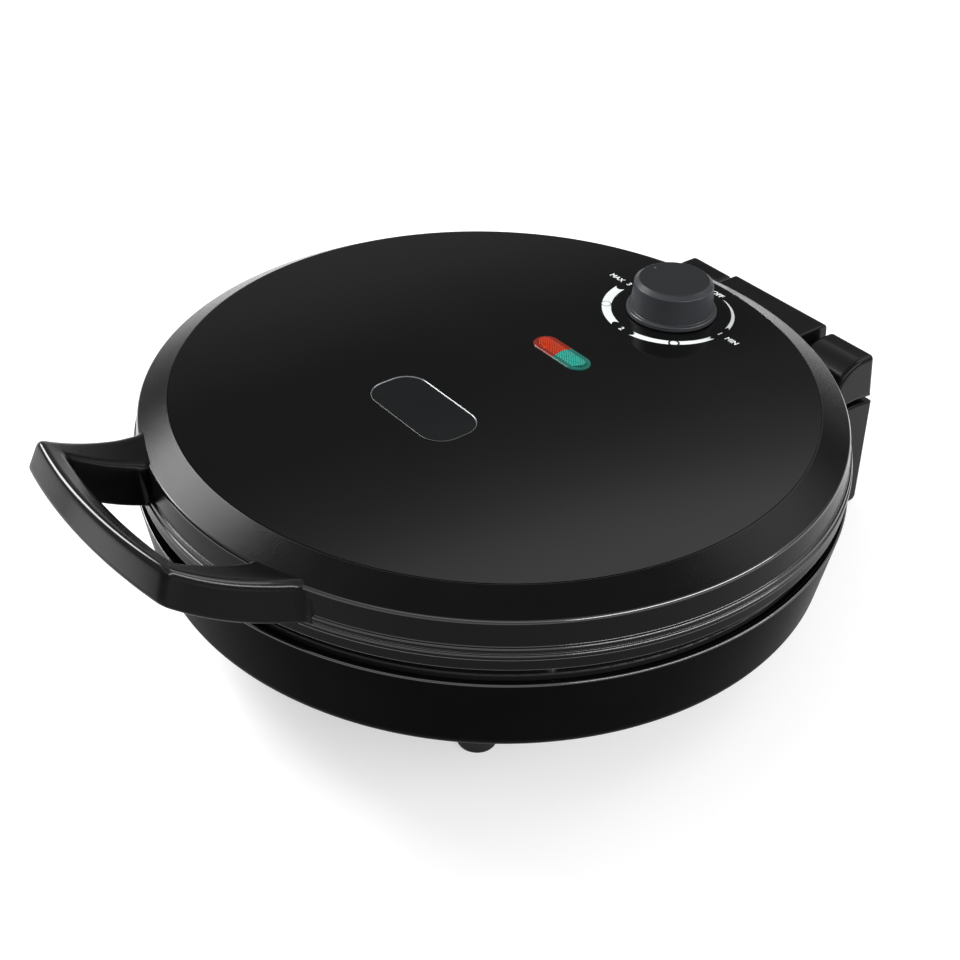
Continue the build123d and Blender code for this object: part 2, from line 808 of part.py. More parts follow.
def upper_reflector():
    shield = heat_shield(upper_shield_z + shield_thickness, 1, lid_ledge_z)
    window = Pos(0, knob_y, upper_shield_z) * Box(bracket_length + 4, thermostat_width + 8, 10)
    return shield - window


# Thermostat: body on its bracket, with a turning shaft that carries the knob
def thermostat_bracket():
    low = upper_plate_top_z
    strip = extrude(
        Pos(0, knob_y, low) * RectangleRounded(bracket_length, bracket_width, 3), amount=bracket_thickness
    )
    for side in (-1, 1):
        x = side * (bracket_length / 2 - 5)
        strip -= upright(x, knob_y, low - 1, low + bracket_thickness + 1, screw_radius)
    return strip


def thermostat():
    low = upper_plate_top_z + bracket_thickness
    body = extrude(
        Pos(0, knob_y, low) * RectangleRounded(thermostat_length, thermostat_width, thermostat_corner),
        amount=thermostat_height,
    )
    top = low + thermostat_height
    body = fillet(body.faces().sort_by(Axis.Z)[-1].edges(), 1.0)
    body += upright(0, knob_y, top - 1, panel_top_z - seat_clearance, bush_radius)
    for side in (-1, 1):
        tab_y = knob_y - thermostat_width / 2 - tab_length / 2 + 1
        body += Pos(side * tab_x, tab_y, low + thermostat_height / 3) * Box(
            tab_width, tab_length, tab_thickness
        )
    body -= upright(0, knob_y, top - shaft_seat, panel_top_z + 1, shaft_radius + running_clearance)
    return body


def thermostat_shaft():
    low = upper_plate_top_z + bracket_thickness + thermostat_height - shaft_seat + seat_clearance
    high = knob_under_z + shaft_in_knob
    shaft = upright(0, knob_y, low, high, shaft_radius)
    flat = Pos(shaft_flat + shaft_radius, knob_y, high) * Box(
        2 * shaft_radius, 4 * shaft_radius, 2 * (shaft_in_knob - 2)
    )
    shaft -= flat
    return chamfer(shaft.faces().sort_by(Axis.Z)[-1].edges(), 0.4)


# Knob: stepped skirt, tapered grip with a chamfered face, hollow with a boss and ribs
def dial_knob():
    low = knob_under_z
    high = low + knob_height
    step = low + knob_skirt_height
    wall = knob_wall
    grip_foot = step + 0.8
    body = turned(
        (0, low + wall),
        (0, high),
        (knob_face_radius, high, 0.4),
        (knob_top_radius, high - knob_chamfer, 0.6),
        (knob_base_radius, grip_foot, 0.5),
        (knob_skirt_radius - 0.6, step, 0.4),
        (knob_skirt_radius, low),
        (knob_base_radius - wall, low),
        (knob_top_radius - wall, high - 2 * wall, 2),
        (knob_boss_radius, high - 2 * wall),
        (knob_boss_radius, low + wall),
    )
    rib_start = knob_boss_radius - 0.5
    rib_end = knob_top_radius - wall + 0.5
    rib_z = high - wall - 1 - knob_rib_height / 2
    rib = Pos((rib_start + rib_end) / 2, 0, rib_z) * Box(rib_end - rib_start, knob_rib, knob_rib_height)
    for angle in (45, 135, 225, 315):
        body += Rot(0, 0, angle) * rib
    bore = Pos(0, 0, low + (shaft_in_knob + 0.3) / 2) * Cylinder(
        shaft_radius + running_clearance, shaft_in_knob + 0.3
    )
    flat = Pos(shaft_flat + running_clearance + shaft_radius, 0, low + shaft_in_knob / 2) * Box(
        2 * shaft_radius, 4 * shaft_radius, 2 * shaft_in_knob
    )
    body -= bore - flat
    body -= upright(-knob_dot_reach, 0, high - knob_dot_depth, high + 1, knob_dot_radius)
    return Pos(0, knob_y, 0) * body


# Hinge arm: the lid's knuckle between the ears, and the shaft and washers it turns on
def arm_screw_places():
    return (-arm_screw_pitch, 0.0, arm_screw_pitch)


def arm_screw_z():
    return lid_ledge_z + ledge_thickness + screw_head_radius + seat_clearance


def arm_screw_seat_y():
    """Place of the screws' seat, just inside the curved rim wall."""
    reach = max(arm_screw_places()) + screw_head_radius
    radius = lid_outer_radius(arm_screw_z()) - lid_wall
    return sqrt(radius * radius - reach * reach) - seat_clearance


def hinge_arm():
    top_z = hinge_z + arm_rise
    under_z = hinge_z + arm_under
    front_y = shoulder_radius - 12
    outline = FilletPolyline(
        (0, front_y, top_z),
        (0, arm_back_y, top_z),
        (0, hinge_y + arm_knuckle, hinge_z),
        (0, hinge_y, hinge_z),
        (0, hinge_y - arm_knuckle / 2, under_z),
        (0, front_y, under_z),
        radius=[0, ear_back_rounding, 0, 0, 0, 0],
        close=True,
    )
    arm = side_slab(outline.edges(), -arm_half_width, arm_half_width)
    arm += across(hinge_y, hinge_z, -arm_half_width, arm_half_width, arm_knuckle)
    arm -= lid_solid()
    arm -= across(
        hinge_y, hinge_z, -arm_half_width - 1, arm_half_width + 1, hinge_shaft_radius + arm_running
    )
    for x in arm_screw_places():
        arm -= lengthwise(
            x, arm_screw_z(), front_y - 5, hinge_y - arm_thread_stop, screw_radius + screw_hole_clearance / 2
        )
    return arm


def lid_solid():
    """The lid's filled outer form with its beads."""
    filled = turned(
        (0, lid_edge_z),
        (lid_edge_radius, lid_edge_z, 0.7),
        (shoulder_radius, shoulder_z, shoulder_rounding),
        (panel_radius + panel_gap, panel_top_z),
        (0, panel_top_z),
    )
    for bead in lid_beads():
        filled += bead
    return filled


def hinge_shaft():
    shaft = across(hinge_y, hinge_z, -hinge_shaft_half, hinge_shaft_half, hinge_shaft_radius)
    return chamfer(shaft.edges().filter_by(GeomType.CIRCLE), 0.6)


def hinge_washers():
    low = arm_half_width + washer_play
    high = ear_inner_x - washer_play
    bore = hinge_shaft_radius + running_clearance
    washer = across(hinge_y, hinge_z, low, high, washer_radius)
    washer -= across(hinge_y, hinge_z, low - 1, high + 1, bore)
    return Compound([washer, mirror(washer, Plane.YZ)])


# Bottom cover: dished plate with a ring of cooling slots
def bottom_cover():
    edge = bottom_opening_radius + cover_overlap
    dish = bottom_opening_radius - cover_dish_margin
    low = underside_z - cover_thickness
    cover = turned(
        (0, low - cover_dish),
        (dish - 4, low - cover_dish, 1.5),
        (dish, low, 1.5),
        (edge, low, 1),
        (edge, underside_z),
        (dish - 0.5, underside_z, 1.5),
        (dish - 4.5, underside_z - cover_dish, 1.5),
        (0, underside_z - cover_dish),
    )
    slot = extrude(
        Pos(vent_circle_radius, 0, low - cover_dish - 1) * SlotOverall(vent_length, vent_width),
        amount=cover_thickness + 3,
    )
    for index in range(vent_count):
        cover -= Rot(0, 0, 360 * (index + 0.5) / vent_count) * slot
    for x, y in cover_screw_places:
        cover -= upright(x, y, low - 1, underside_z + 1, screw_radius + screw_hole_clearance)
    return cover


# Feet: moulded rubber buffers, screwed to the base from below
def rubber_foot(x, y):
    foot = turned(
        (screw_head_radius + 1, 0),
        (foot_radius, 0, foot_rounding),
        (foot_top_radius, foot_height),
        (screw_radius + screw_hole_clearance, foot_height),
        (screw_radius + screw_hole_clearance, foot_height / 2),
        (screw_head_radius + 1, foot_height / 2),
    )
    return Pos(x, y, 0) * foot


# Cord inlet: a grommet in its boss; the cord isn't modelled
def cord_inlet_bush():
    front = base_waist_radius - 8
    bush = lengthwise(0, inlet_height, front, inlet_boss_y, inlet_bush_radius)
    bush += lengthwise(0, inlet_height, inlet_boss_y, inlet_boss_y + inlet_flange, inlet_flange_radius)
    bush = fillet(bush.faces().sort_by(Axis.Y)[-1].edges(), 0.8)
    return bush - lengthwise(0, inlet_height, front - 1, inlet_boss_y + 5, inlet_bore_radius)


# Small fittings inside: terminal block and thermal fuses
def terminal_block():
    low = cover_top_z
    middle = low + terminal_height / 2
    block = Pos(0, terminal_y, middle) * Box(terminal_length, terminal_width, terminal_height)
    front = terminal_y - terminal_width
    back = terminal_y + terminal_width
    for x in (-terminal_pitch, 0, terminal_pitch):
        block -= lengthwise(x, middle - 1, front, back, terminal_wire_radius)
        block -= upright(x, terminal_y, middle, low + terminal_height + 1, terminal_screw_radius)
    return block


def thermal_fuse(plate_face_z, up):
    """Fuse barrel with its leads, under a strap that is bent from one strip."""
    z = plate_face_z + up * (fuse_radius + seat_clearance)
    barrel = across(fuse_y, z, -fuse_length / 2, fuse_length / 2, fuse_radius)
    return barrel + across(fuse_y, z, -fuse_lead_span / 2, fuse_lead_span / 2, fuse_lead_radius)


def fuse_strap(plate_face_z, up):
    """Strap bent over the fuse from one strip, with an ear on each side."""
    inner = fuse_radius + seat_clearance
    outer = inner + fuse_strap_thickness
    width = fuse_strap_width
    z = plate_face_z + up * inner
    ears_z = plate_face_z + up * fuse_strap_thickness / 2
    strap = across(fuse_y, z, -width / 2, width / 2, outer)
    strap += Pos(0, fuse_y, (z + plate_face_z) / 2) * Box(width, 2 * outer, inner)
    strap += Pos(0, fuse_y, ears_z) * Box(width, fuse_strap_length, fuse_strap_thickness)
    strap -= across(fuse_y, z, -width, width, inner)
    strap -= Pos(0, fuse_y, (z + plate_face_z) / 2) * Box(2 * width, 2 * inner, inner)
    return strap - Pos(0, fuse_y, plate_face_z - up * outer) * Box(2 * width, 4 * outer, 2 * outer)


# Screws: pan heads, each kind a group of separate solids
def screw(head_low, head_high, tip):
    """Screw along Z at the origin, its head between two heights and its tip at a third."""
    head = upright(0, 0, min(head_low, head_high), max(head_low, head_high), screw_head_radius)
    face = head.faces().sort_by(Axis.Z)[-1 if tip < head_low else 0]
    head = fillet(face.edges(), screw_head_rounding)
    shank_low = min(tip, head_low)
    shank_high = max(tip, head_low)
    return head + upright(0, 0, shank_low, shank_high, screw_radius)


def screw_group(places, head_seat, away, tip):
    """Screws at (x, y) places; away is the way from the seat that the heads stand."""
    one = screw(head_seat, head_seat + away * screw_head_height, tip)
    return Compound([Pos(x, y, 0) * one for x, y in places])


def arm_screws():
    seat = arm_screw_seat_y()
    tip = hinge_y - arm_screw_stop
    group = []
    for x in arm_screw_places():
        head = lengthwise(x, arm_screw_z(), seat - screw_head_height, seat, screw_head_radius)
        group.append(head + lengthwise(x, arm_screw_z(), seat, tip, screw_radius))
    return Compound(group)


nodes = {
    "base_housing": base_housing(),
    "hinge_ear_left": hinge_ear(-1),
    "hinge_ear_right": hinge_ear(1),
    "hinge_shaft": hinge_shaft(),
    "hinge_washers": hinge_washers(),
    "hinge_arm": hinge_arm(),
    "hinge_arm_screws": arm_screws(),
    "bottom_cover": bottom_cover(),
    "cord_inlet_bush": cord_inlet_bush(),
    "terminal_block": terminal_block(),
    "lower_reflector": lower_reflector(),
    "lower_element": heating_element(
        lower_plate_under_z - element_tube / 2 - seat_clearance, -1, lower_lead
    ),
    "lower_element_clamps": element_clamps(lower_plate_under_z, -1),
    "lower_thermal_fuse": thermal_fuse(lower_plate_under_z, -1),
    "lower_fuse_strap": fuse_strap(lower_plate_under_z, -1),
    "lower_plate": cooking_plate(lower_flange_z, 1, lower_pan_depth),
    "lid_rim": lid_rim(),
    "lid_panel": lid_panel(),
    "nameplate": nameplate(),
    "lamp_bezel": lamp_bezel(),
    "lens_red": lens(-1),
    "lens_green": lens(1),
    "lamp_holder": lamp_holder(),
    "lamp_red": lamp(-1),
    "lamp_green": lamp(1),
    "upper_reflector": upper_reflector(),
    "upper_element": heating_element(
        upper_plate_top_z + element_tube / 2 + seat_clearance, 1, upper_lead
    ),
    "upper_element_clamps": element_clamps(upper_plate_top_z, 1),
    "upper_thermal_fuse": thermal_fuse(upper_plate_top_z, 1),
    "upper_fuse_strap": fuse_strap(upper_plate_top_z, 1),
    "upper_plate": cooking_plate(upper_flange_z, -1, upper_pan_depth),
    "thermostat_bracket": thermostat_bracket(),
    "thermostat": thermostat(),
    "thermostat_shaft": thermostat_shaft(),
    "dial_knob": dial_knob(),
    "lower_plate_screws": screw_group(
        plate_screws_low_at, lower_flange_z, 1, base_ledge_z - ledge_thickness - 5
    ),
    "upper_plate_screws": screw_group(
        plate_screws_high_at, upper_flange_z, -1, lid_ledge_z + ledge_thickness + 5
    ),
    "bottom_cover_screws": screw_group(
        cover_screw_places, underside_z - cover_thickness, -1, underside_z + base_wall + 3
    ),
    "foot_screws": screw_group(foot_places, foot_height / 2, -1, underside_z + base_wall + 5),
    "hinge_ear_screws": screw_group(
        [(side * (ear_inner_x + ear_outer_x) / 2, hinge_y) for side in (-1, 1)],
        ear_screw_seat_z(),
        -1,
        slit_z - 2,
    ),
}
for index, (x, y) in enumerate(foot_places):
    name = ("front" if y < 0 else "rear") + ("_left" if x < 0 else "_right")
    nodes["foot_" + name] = rubber_foot(x, y)

os.makedirs("parts", exist_ok=True)
for name, solid in nodes.items():
    export_step(Pos(0, axis_y, 0) * solid, "parts/" + name + ".step")
print("plates' centre at y", round(axis_y, 3), "panel top", round(panel_top_z, 3))
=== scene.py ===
"""Electric pizza maker: a black, round countertop cooker with a hinged lid, a loop handle at the
front, a gloss panel with a dial knob and two indicator lamps on top, and two heated pans inside."""

import json

import bmesh
import bpy
import numpy as np
from math import cos, pi, radians, sin
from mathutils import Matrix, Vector


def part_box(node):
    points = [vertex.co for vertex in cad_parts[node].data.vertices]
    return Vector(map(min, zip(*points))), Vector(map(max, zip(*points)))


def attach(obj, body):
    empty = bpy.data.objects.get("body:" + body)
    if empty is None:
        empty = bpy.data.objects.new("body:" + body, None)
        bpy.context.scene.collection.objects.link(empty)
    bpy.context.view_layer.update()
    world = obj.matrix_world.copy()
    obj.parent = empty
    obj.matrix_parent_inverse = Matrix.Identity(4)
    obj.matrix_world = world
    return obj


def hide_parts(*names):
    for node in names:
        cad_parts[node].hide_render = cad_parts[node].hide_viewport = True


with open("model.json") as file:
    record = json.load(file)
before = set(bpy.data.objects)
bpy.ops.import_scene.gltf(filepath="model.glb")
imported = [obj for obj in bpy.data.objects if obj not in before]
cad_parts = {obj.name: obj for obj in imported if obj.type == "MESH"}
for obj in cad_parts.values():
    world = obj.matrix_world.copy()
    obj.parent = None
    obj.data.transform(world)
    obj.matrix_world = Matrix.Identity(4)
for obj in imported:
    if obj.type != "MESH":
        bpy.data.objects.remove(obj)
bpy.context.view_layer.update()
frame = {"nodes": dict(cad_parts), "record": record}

# Base housing: a deep bowl moulded in black satin plastic, with a flat rim that the lid comes
# down to, a ledge inside it for the lower pan, and an opening in its floor that a cover closes.
# The boss for the cord's inlet is moulded onto its back.
MM = 0.001
_, base_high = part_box("base_housing")
base_rim = base_high[2] / MM
base_floor = base_rim - 65.7
arc_steps = 7
wall_segments = 384
base_side = (
    (134.0, base_floor, 4.0),
    (166.6, base_floor + 25.5, 10.0),
    (173.7, base_rim, 0.9),
    (170.9, base_rim, 0.9),
    (170.6, base_rim - 1.9),
    (158.5, base_rim - 1.9, 0.4),
    (158.5, base_rim - 4.1, 0.4),
    (170.3, base_rim - 4.1),
    (163.8, base_floor + 26.9, 7.2),
    (133.1, base_floor + 2.8),
    (96.0, base_floor + 2.8, 0.4),
    (96.0, base_floor, 0.4),
)
inlet_z, inlet_radius = base_rim - 27.7, 11.0
inlet_front, inlet_back = 160.0, 172.5


def arc_corner(before, corner, after, rounding, steps=arc_steps):
    """Points of the arc that rounds a corner: it touches both sides at rounding / tan(half the
    angle) from the corner, and its centre lies on the bisector."""
    before, corner, after = (np.asarray(p, float) for p in (before, corner, after))
    u = (before - corner) / np.linalg.norm(before - corner)
    v = (after - corner) / np.linalg.norm(after - corner)
    half = np.arccos(np.clip(u @ v, -1, 1)) / 2
    centre = corner + (u + v) / np.linalg.norm(u + v) * rounding / np.sin(half)
    start = corner + u * rounding / np.tan(half) - centre
    end = corner + v * rounding / np.tan(half) - centre
    sweep = np.arccos(np.clip(start @ end / rounding**2, -1, 1))
    t = np.linspace(0, 1, steps)[:, None]
    return centre + (np.sin((1 - t) * sweep) * start + np.sin(t * sweep) * end) / np.sin(sweep)


def rounded_outline(corners, steps=arc_steps):
    """Closed outline of (a, b[, rounding]) corners, each rounding made an arc."""
    pieces = []
    for index, corner in enumerate(corners):
        before = corners[index - 1][:2]
        after = corners[(index + 1) % len(corners)][:2]
        if len(corner) > 2:
            pieces.append(arc_corner(before, corner[:2], after, corner[2], steps))
        else:
            pieces.append(np.array([corner[:2]], float))
    return np.concatenate(pieces)


def grid_faces(rows, columns, close_rows=False, close_columns=False):
    """Quads between neighbouring points of a rows by columns grid."""
    i, j = np.meshgrid(
        np.arange(rows if close_rows else rows - 1),
        np.arange(columns if close_columns else columns - 1),
        indexing="ij",
    )
    i2 = (i + 1) % rows
    j2 = (j + 1) % columns
    quads = np.stack([i * columns + j, i * columns + j2, i2 * columns + j2, i2 * columns + j], -1)
    return quads.reshape(-1, 4)


def turned(corners, segments, steps=arc_steps):
    """Outline of (radius, height) turned about the centre: x = r cos a, y = r sin a, z = h. The
    points of an end at radius 0 merge to one pole when the piece is made."""
    outline = rounded_outline(corners, steps)
    angle = np.linspace(0, 2 * pi, segments, endpoint=False)
    radius = outline[:, 0, None]
    height = np.broadcast_to(outline[:, 1, None], (len(outline), segments))
    points = np.stack([radius * np.cos(angle), radius * np.sin(angle), height], -1)
    return points.reshape(-1, 3), grid_faces(len(outline), segments, True, True)


def rod_along_y(radius, front, back, z, rounding=0.5):
    """Round rod along Y at a height: the turned outline of (radius, place), laid over."""
    outline = [(0, front), (radius, front, rounding), (radius, back, rounding), (0, back)]
    points, faces = turned(outline, segments=48, steps=4)
    return np.stack([points[:, 0], points[:, 2], points[:, 1] + z], -1), faces


def joined(*surfaces):
    """Several (points, faces) surfaces as one."""
    points = []
    faces = []
    count = 0
    for surface_points, surface_faces in surfaces:
        points.append(surface_points)
        faces.extend([int(v) + count for v in face] for face in surface_faces)
        count += len(surface_points)
    return np.concatenate(points), faces


bowl = turned(base_side, wall_segments)
inlet_boss = rod_along_y(inlet_radius, inlet_front, inlet_back, inlet_z)


def new_group(name, inputs, outputs):
    """Empty node group with named float inputs (with defaults) and outputs."""
    group = bpy.data.node_groups.new(name, "ShaderNodeTree")
    for label, value in inputs:
        socket = group.interface.new_socket(label, in_out="INPUT", socket_type="NodeSocketFloat")
        socket.default_value = value
    for label in outputs:
        group.interface.new_socket(label, in_out="OUTPUT", socket_type="NodeSocketFloat")
    return group, group.nodes.new("NodeGroupInput"), group.nodes.new("NodeGroupOutput")


def grain_group():
    """Fine noise of a few octaves on Object coordinates, as a spark-eroded mould leaves it."""
    group, inside, outside = new_group("moulded_grain", [("Scale", 2200.0)], ["Height"])
    place = group.nodes.new("ShaderNodeTexCoord")
    noise = group.nodes.new("ShaderNodeTexNoise")
    noise.inputs["Detail"].default_value = 3.0
    noise.inputs["Roughness"].default_value = 0.6
    group.links.new(place.outputs["Object"], noise.inputs["Vector"])
    group.links.new(inside.outputs["Scale"], noise.inputs["Scale"])
    group.links.new(noise.outputs["Fac"], outside.inputs["Height"])
    return group


def smudge_group():
    """Broad, bent, soft patches from 0 to 1, where a hand or a cloth has been: noise stretched
    from 0.5 - contrast and 0.5 + contrast to the full range."""
    group, inside, outside = new_group("smudges", [("Scale", 18.0), ("Contrast", 0.25)], ["Mask"])
    place = group.nodes.new("ShaderNodeTexCoord")
    noise = group.nodes.new("ShaderNodeTexNoise")
    noise.inputs["Detail"].default_value = 5.0
    noise.inputs["Roughness"].default_value = 0.55
    noise.inputs["Distortion"].default_value = 0.8
    low = group.nodes.new("ShaderNodeMath")
    low.operation = "SUBTRACT"
    low.inputs[0].default_value = 0.5
    high = group.nodes.new("ShaderNodeMath")
    high.operation = "ADD"
    high.inputs[0].default_value = 0.5
    spread = group.nodes.new("ShaderNodeMapRange")
    group.links.new(place.outputs["Object"], noise.inputs["Vector"])
    group.links.new(inside.outputs["Scale"], noise.inputs["Scale"])
    group.links.new(inside.outputs["Contrast"], low.inputs[1])
    group.links.new(inside.outputs["Contrast"], high.inputs[1])
    group.links.new(low.outputs[0], spread.inputs["From Min"])
    group.links.new(high.outputs[0], spread.inputs["From Max"])
    group.links.new(noise.outputs["Fac"], spread.inputs["Value"])
    group.links.new(spread.outputs["Result"], outside.inputs["Mask"])
    return group


moulded_grain = grain_group()
smudges = smudge_group()


def new_material(name, **sockets):
    """Material with one Principled BSDF, its sockets set by name with underscores for spaces."""
    material = bpy.data.materials.new(name)
    material.use_nodes = True
    shader = material.node_tree.nodes["Principled BSDF"]
    for label, value in sockets.items():
        shader.inputs[label.replace("_", " ")].default_value = value
    return material, material.node_tree, shader


def add_group(tree, group, **values):
    """The group placed in a material, with its own values."""
    node = tree.nodes.new("ShaderNodeGroup")
    node.node_tree = group
    for label, value in values.items():
        node.inputs[label.replace("_", " ")].default_value = value
    return node


def vary(tree, mask, socket, low, high):
    """A mask drives a float socket between two values."""
    spread = tree.nodes.new("ShaderNodeMapRange")
    spread.inputs["To Min"].default_value = low
    spread.inputs["To Max"].default_value = high
    tree.links.new(mask, spread.inputs["Value"])
    tree.links.new(spread.outputs["Result"], socket)


def vary_colour(tree, mask, socket, low, high):
    """A mask drives a colour socket between two colours."""
    mix = tree.nodes.new("ShaderNodeMix")
    mix.data_type = "RGBA"
    mix.inputs[6].default_value = (*low, 1)
    mix.inputs[7].default_value = (*high, 1)
    tree.links.new(mask, mix.inputs[0])
    tree.links.new(mix.outputs[2], socket)


def bumped(tree, height, shader, strength, depth):
    """A height drives the shader's normal; depth is the relief in millimetres."""
    bump = tree.nodes.new("ShaderNodeBump")
    bump.inputs["Strength"].default_value = strength
    bump.inputs["Distance"].default_value = depth * MM
    tree.links.new(height, bump.inputs["Height"])
    tree.links.new(bump.outputs["Normal"], shader.inputs["Normal"])


def plastic(name, dark, light, roughness, grain_scale, grain_depth, specular=0.5):
    """Moulded plastic: smudges shift its colour and roughness a little, grain breaks its gloss."""
    material, tree, shader = new_material(name, Specular_IOR_Level=specular)
    marks = add_group(tree, smudges, Scale=22.0, Contrast=0.2)
    vary_colour(tree, marks.outputs["Mask"], shader.inputs["Base Color"], dark, light)
    vary(tree, marks.outputs["Mask"], shader.inputs["Roughness"], roughness - 0.02, roughness + 0.03)
    grain = add_group(tree, moulded_grain, Scale=grain_scale)
    bumped(tree, grain.outputs["Height"], shader, strength=0.5, depth=grain_depth)
    return material


def shiny_edges(material):
    """The rounded edges, where the mould is polished, get a glossier skin than the faces."""
    tree = material.node_tree
    shader = tree.nodes["Principled BSDF"]
    edge = tree.nodes.new("ShaderNodeAttribute")
    edge.attribute_name = "edge_shine"
    tree.links.new(edge.outputs["Fac"], shader.inputs["Coat Weight"])
    shader.inputs["Coat IOR"].default_value = 2.1
    shader.inputs["Coat Roughness"].default_value = 0.12


def arc_weights(corners):
    """Per outline point, sin(pi t) through each rounding and 0 elsewhere: where edges shine."""
    arc = np.sin(np.linspace(0, pi, arc_steps))
    return np.concatenate([arc if len(corner) > 2 else np.zeros(1) for corner in corners])


base_plastic = plastic(
    "base_plastic", (0.0030, 0.0031, 0.0034), (0.0042, 0.0043, 0.0047),
    roughness=0.3, grain_scale=1500.0, grain_depth=0.02, specular=0.006,
)
shiny_edges(base_plastic)
under_the_bowl = slice(0, 2 * arc_steps)
bowl_shine = arc_weights(base_side)
bowl_shine[under_the_bowl] = 0

# The lengths above are in millimetres, Z up from the table, X and Y from the upright axis that
# the round pieces are turned about. That axis lies a little behind the whole object's middle.
panel_low, panel_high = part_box("lid_panel")
centre_y = (panel_low[1] + panel_high[1]) / 2

# In a finished mesh, points within this distance in metres are one, edges bent by more than this
# angle are sharp, and large faces lead the shading by this weight.
merged_within = 2e-6
sharp_from = radians(35)
large_face_weight = 90
slots = {part["node"]: part["material_slot"] for part in frame["record"]["subparts"]}


def make_piece(name, surface, material, body, replaced=(), shine=None):
    """Mesh object from a surface in millimetres; doubles merged, normals outwards. Large faces
    lead the shading at a rounded edge, so that they reflect as flat or evenly curved ones. Shine
    is the polish of the surface's first points; the others have none."""
    points, faces = surface
    points = np.asarray(points, float) * MM
    points[:, 1] += centre_y
    mesh = bpy.data.meshes.new(name)
    mesh.from_pydata(points.tolist(), [], faces if isinstance(faces, list) else faces.tolist())
    if shine is not None:
        edges = mesh.attributes.new("edge_shine", "FLOAT", "POINT")
        edges.data.foreach_set("value", np.append(shine, np.zeros(len(points) - len(shine))))
    shell = bmesh.new()
    shell.from_mesh(mesh)
    bmesh.ops.remove_doubles(shell, verts=shell.verts, dist=merged_within)
    loose_edges = [edge for edge in shell.edges if not edge.link_faces]
    bmesh.ops.delete(shell, geom=loose_edges, context="EDGES")
    bmesh.ops.recalc_face_normals(shell, faces=shell.faces)
    shell.to_mesh(mesh)
    shell.free()
    mesh.polygons.foreach_set("use_smooth", np.ones(len(mesh.polygons), bool))
    mesh.set_sharp_from_angle(angle=sharp_from)
    mesh.materials.append(material)
    piece = bpy.data.objects.new(name, mesh)
    bpy.context.scene.collection.objects.link(piece)
    evened = piece.modifiers.new("evened", "WEIGHTED_NORMAL")
    evened.keep_sharp = True
    evened.weight = large_face_weight
    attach(piece, body)
    if replaced:
        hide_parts(*replaced)


make_piece(
    "base_bowl", joined(bowl, inlet_boss), base_plastic, "base", replaced=["base_housing"],
    shine=np.repeat(bowl_shine, wall_segments),
)

# Hinge legs: two flat-sided legs moulded in one with the bowl, in the same black but glossier.
# They carry the hinge shaft behind the lid, under the ears, and run down to just above the table.
shaft_low, shaft_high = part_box("hinge_shaft")
hinge_z = (shaft_low[2] + shaft_high[2]) / 2 / MM
leg_inner, leg_outer = 37.0, 68.0
slit_z, slit_crown, slit_height = hinge_z - 11.8, 1.9, 2.3
ear_front, ear_back, leg_back = 174.3, 206.4, 207.0
leg_root, leg_toe, leg_heel, leg_foot_z = 141.6, 172.0, leg_back + 1.95, 1.0
leg_top = slit_z - slit_height
miter_limit = 0.4


def slab(outline, low_x, high_x, rounding, steps=5):
    """Block between two places along X from a closed (y, z) outline. Its long edges are rounded:
    going round the edge, the outline shrinks by r (1 - cos t) as x moves on by r sin t."""
    outline = np.asarray(outline, float)
    ahead = np.roll(outline, -1, axis=0) - outline
    behind = outline - np.roll(outline, 1, axis=0)
    ahead /= np.maximum(np.linalg.norm(ahead, axis=1, keepdims=True), 1e-9)
    behind /= np.maximum(np.linalg.norm(behind, axis=1, keepdims=True), 1e-9)
    area = np.sum(outline[:, 0] * np.roll(outline[:, 1], -1) - np.roll(outline[:, 0], -1) * outline[:, 1])
    side = np.sign(area)
    normal = np.stack([ahead[:, 1] + behind[:, 1], -ahead[:, 0] - behind[:, 0]], -1) * side
    miter = normal / np.maximum(1 + np.sum(ahead * behind, axis=1, keepdims=True), miter_limit)
    turn = np.linspace(0, pi / 2, steps)
    shrink = np.concatenate([rounding * (1 - np.sin(turn)), rounding * (1 - np.cos(turn))])
    place = np.concatenate([low_x + rounding * (1 - np.cos(turn)), high_x - rounding * (1 - np.sin(turn))])
    ring = outline[None] - miter[None] * shrink[:, None, None]
    x = np.broadcast_to(place[:, None, None], (len(place), len(outline), 1))
    points = np.concatenate([x, ring], -1).reshape(-1, 3)
    faces = grid_faces(len(place), len(outline), False, True).tolist()
    faces.append(list(range(len(outline)))[::-1])
    faces.append(list(range(len(points) - len(outline), len(points))))
    return points, faces


def crowned(front, back, z, crown, steps=13):
    """Line from front to back that falls by crown (2 t - 1)^2 from its middle to its ends."""
    t = np.linspace(0, 1, steps)
    return np.stack([front + (back - front) * t, z - crown * (2 * t - 1) ** 2], -1)


def mirrored(surface):
    """The same surface on the other side of the middle plane."""
    points, faces = surface
    return points * np.array([-1, 1, 1]), faces


leg_outline = np.concatenate(
    [
        crowned(ear_front, leg_back, leg_top, slit_crown),
        arc_corner((leg_back, slit_z), (leg_heel, leg_foot_z), (leg_toe, leg_foot_z), rounding=3.5),
        [(leg_toe, leg_foot_z), (leg_root, base_floor + 17.5), (leg_root, leg_top - slit_crown)],
    ]
)
leg = slab(leg_outline, leg_inner, leg_outer, rounding=1.6)
hinge_plastic = plastic(
    "hinge_plastic", (0.0034, 0.0035, 0.0038), (0.0046, 0.0047, 0.0052),
    roughness=0.16, grain_scale=1500.0, grain_depth=0.02, specular=0.13,
)
make_piece("hinge_legs", joined(leg, mirrored(leg)), hinge_plastic, "base")

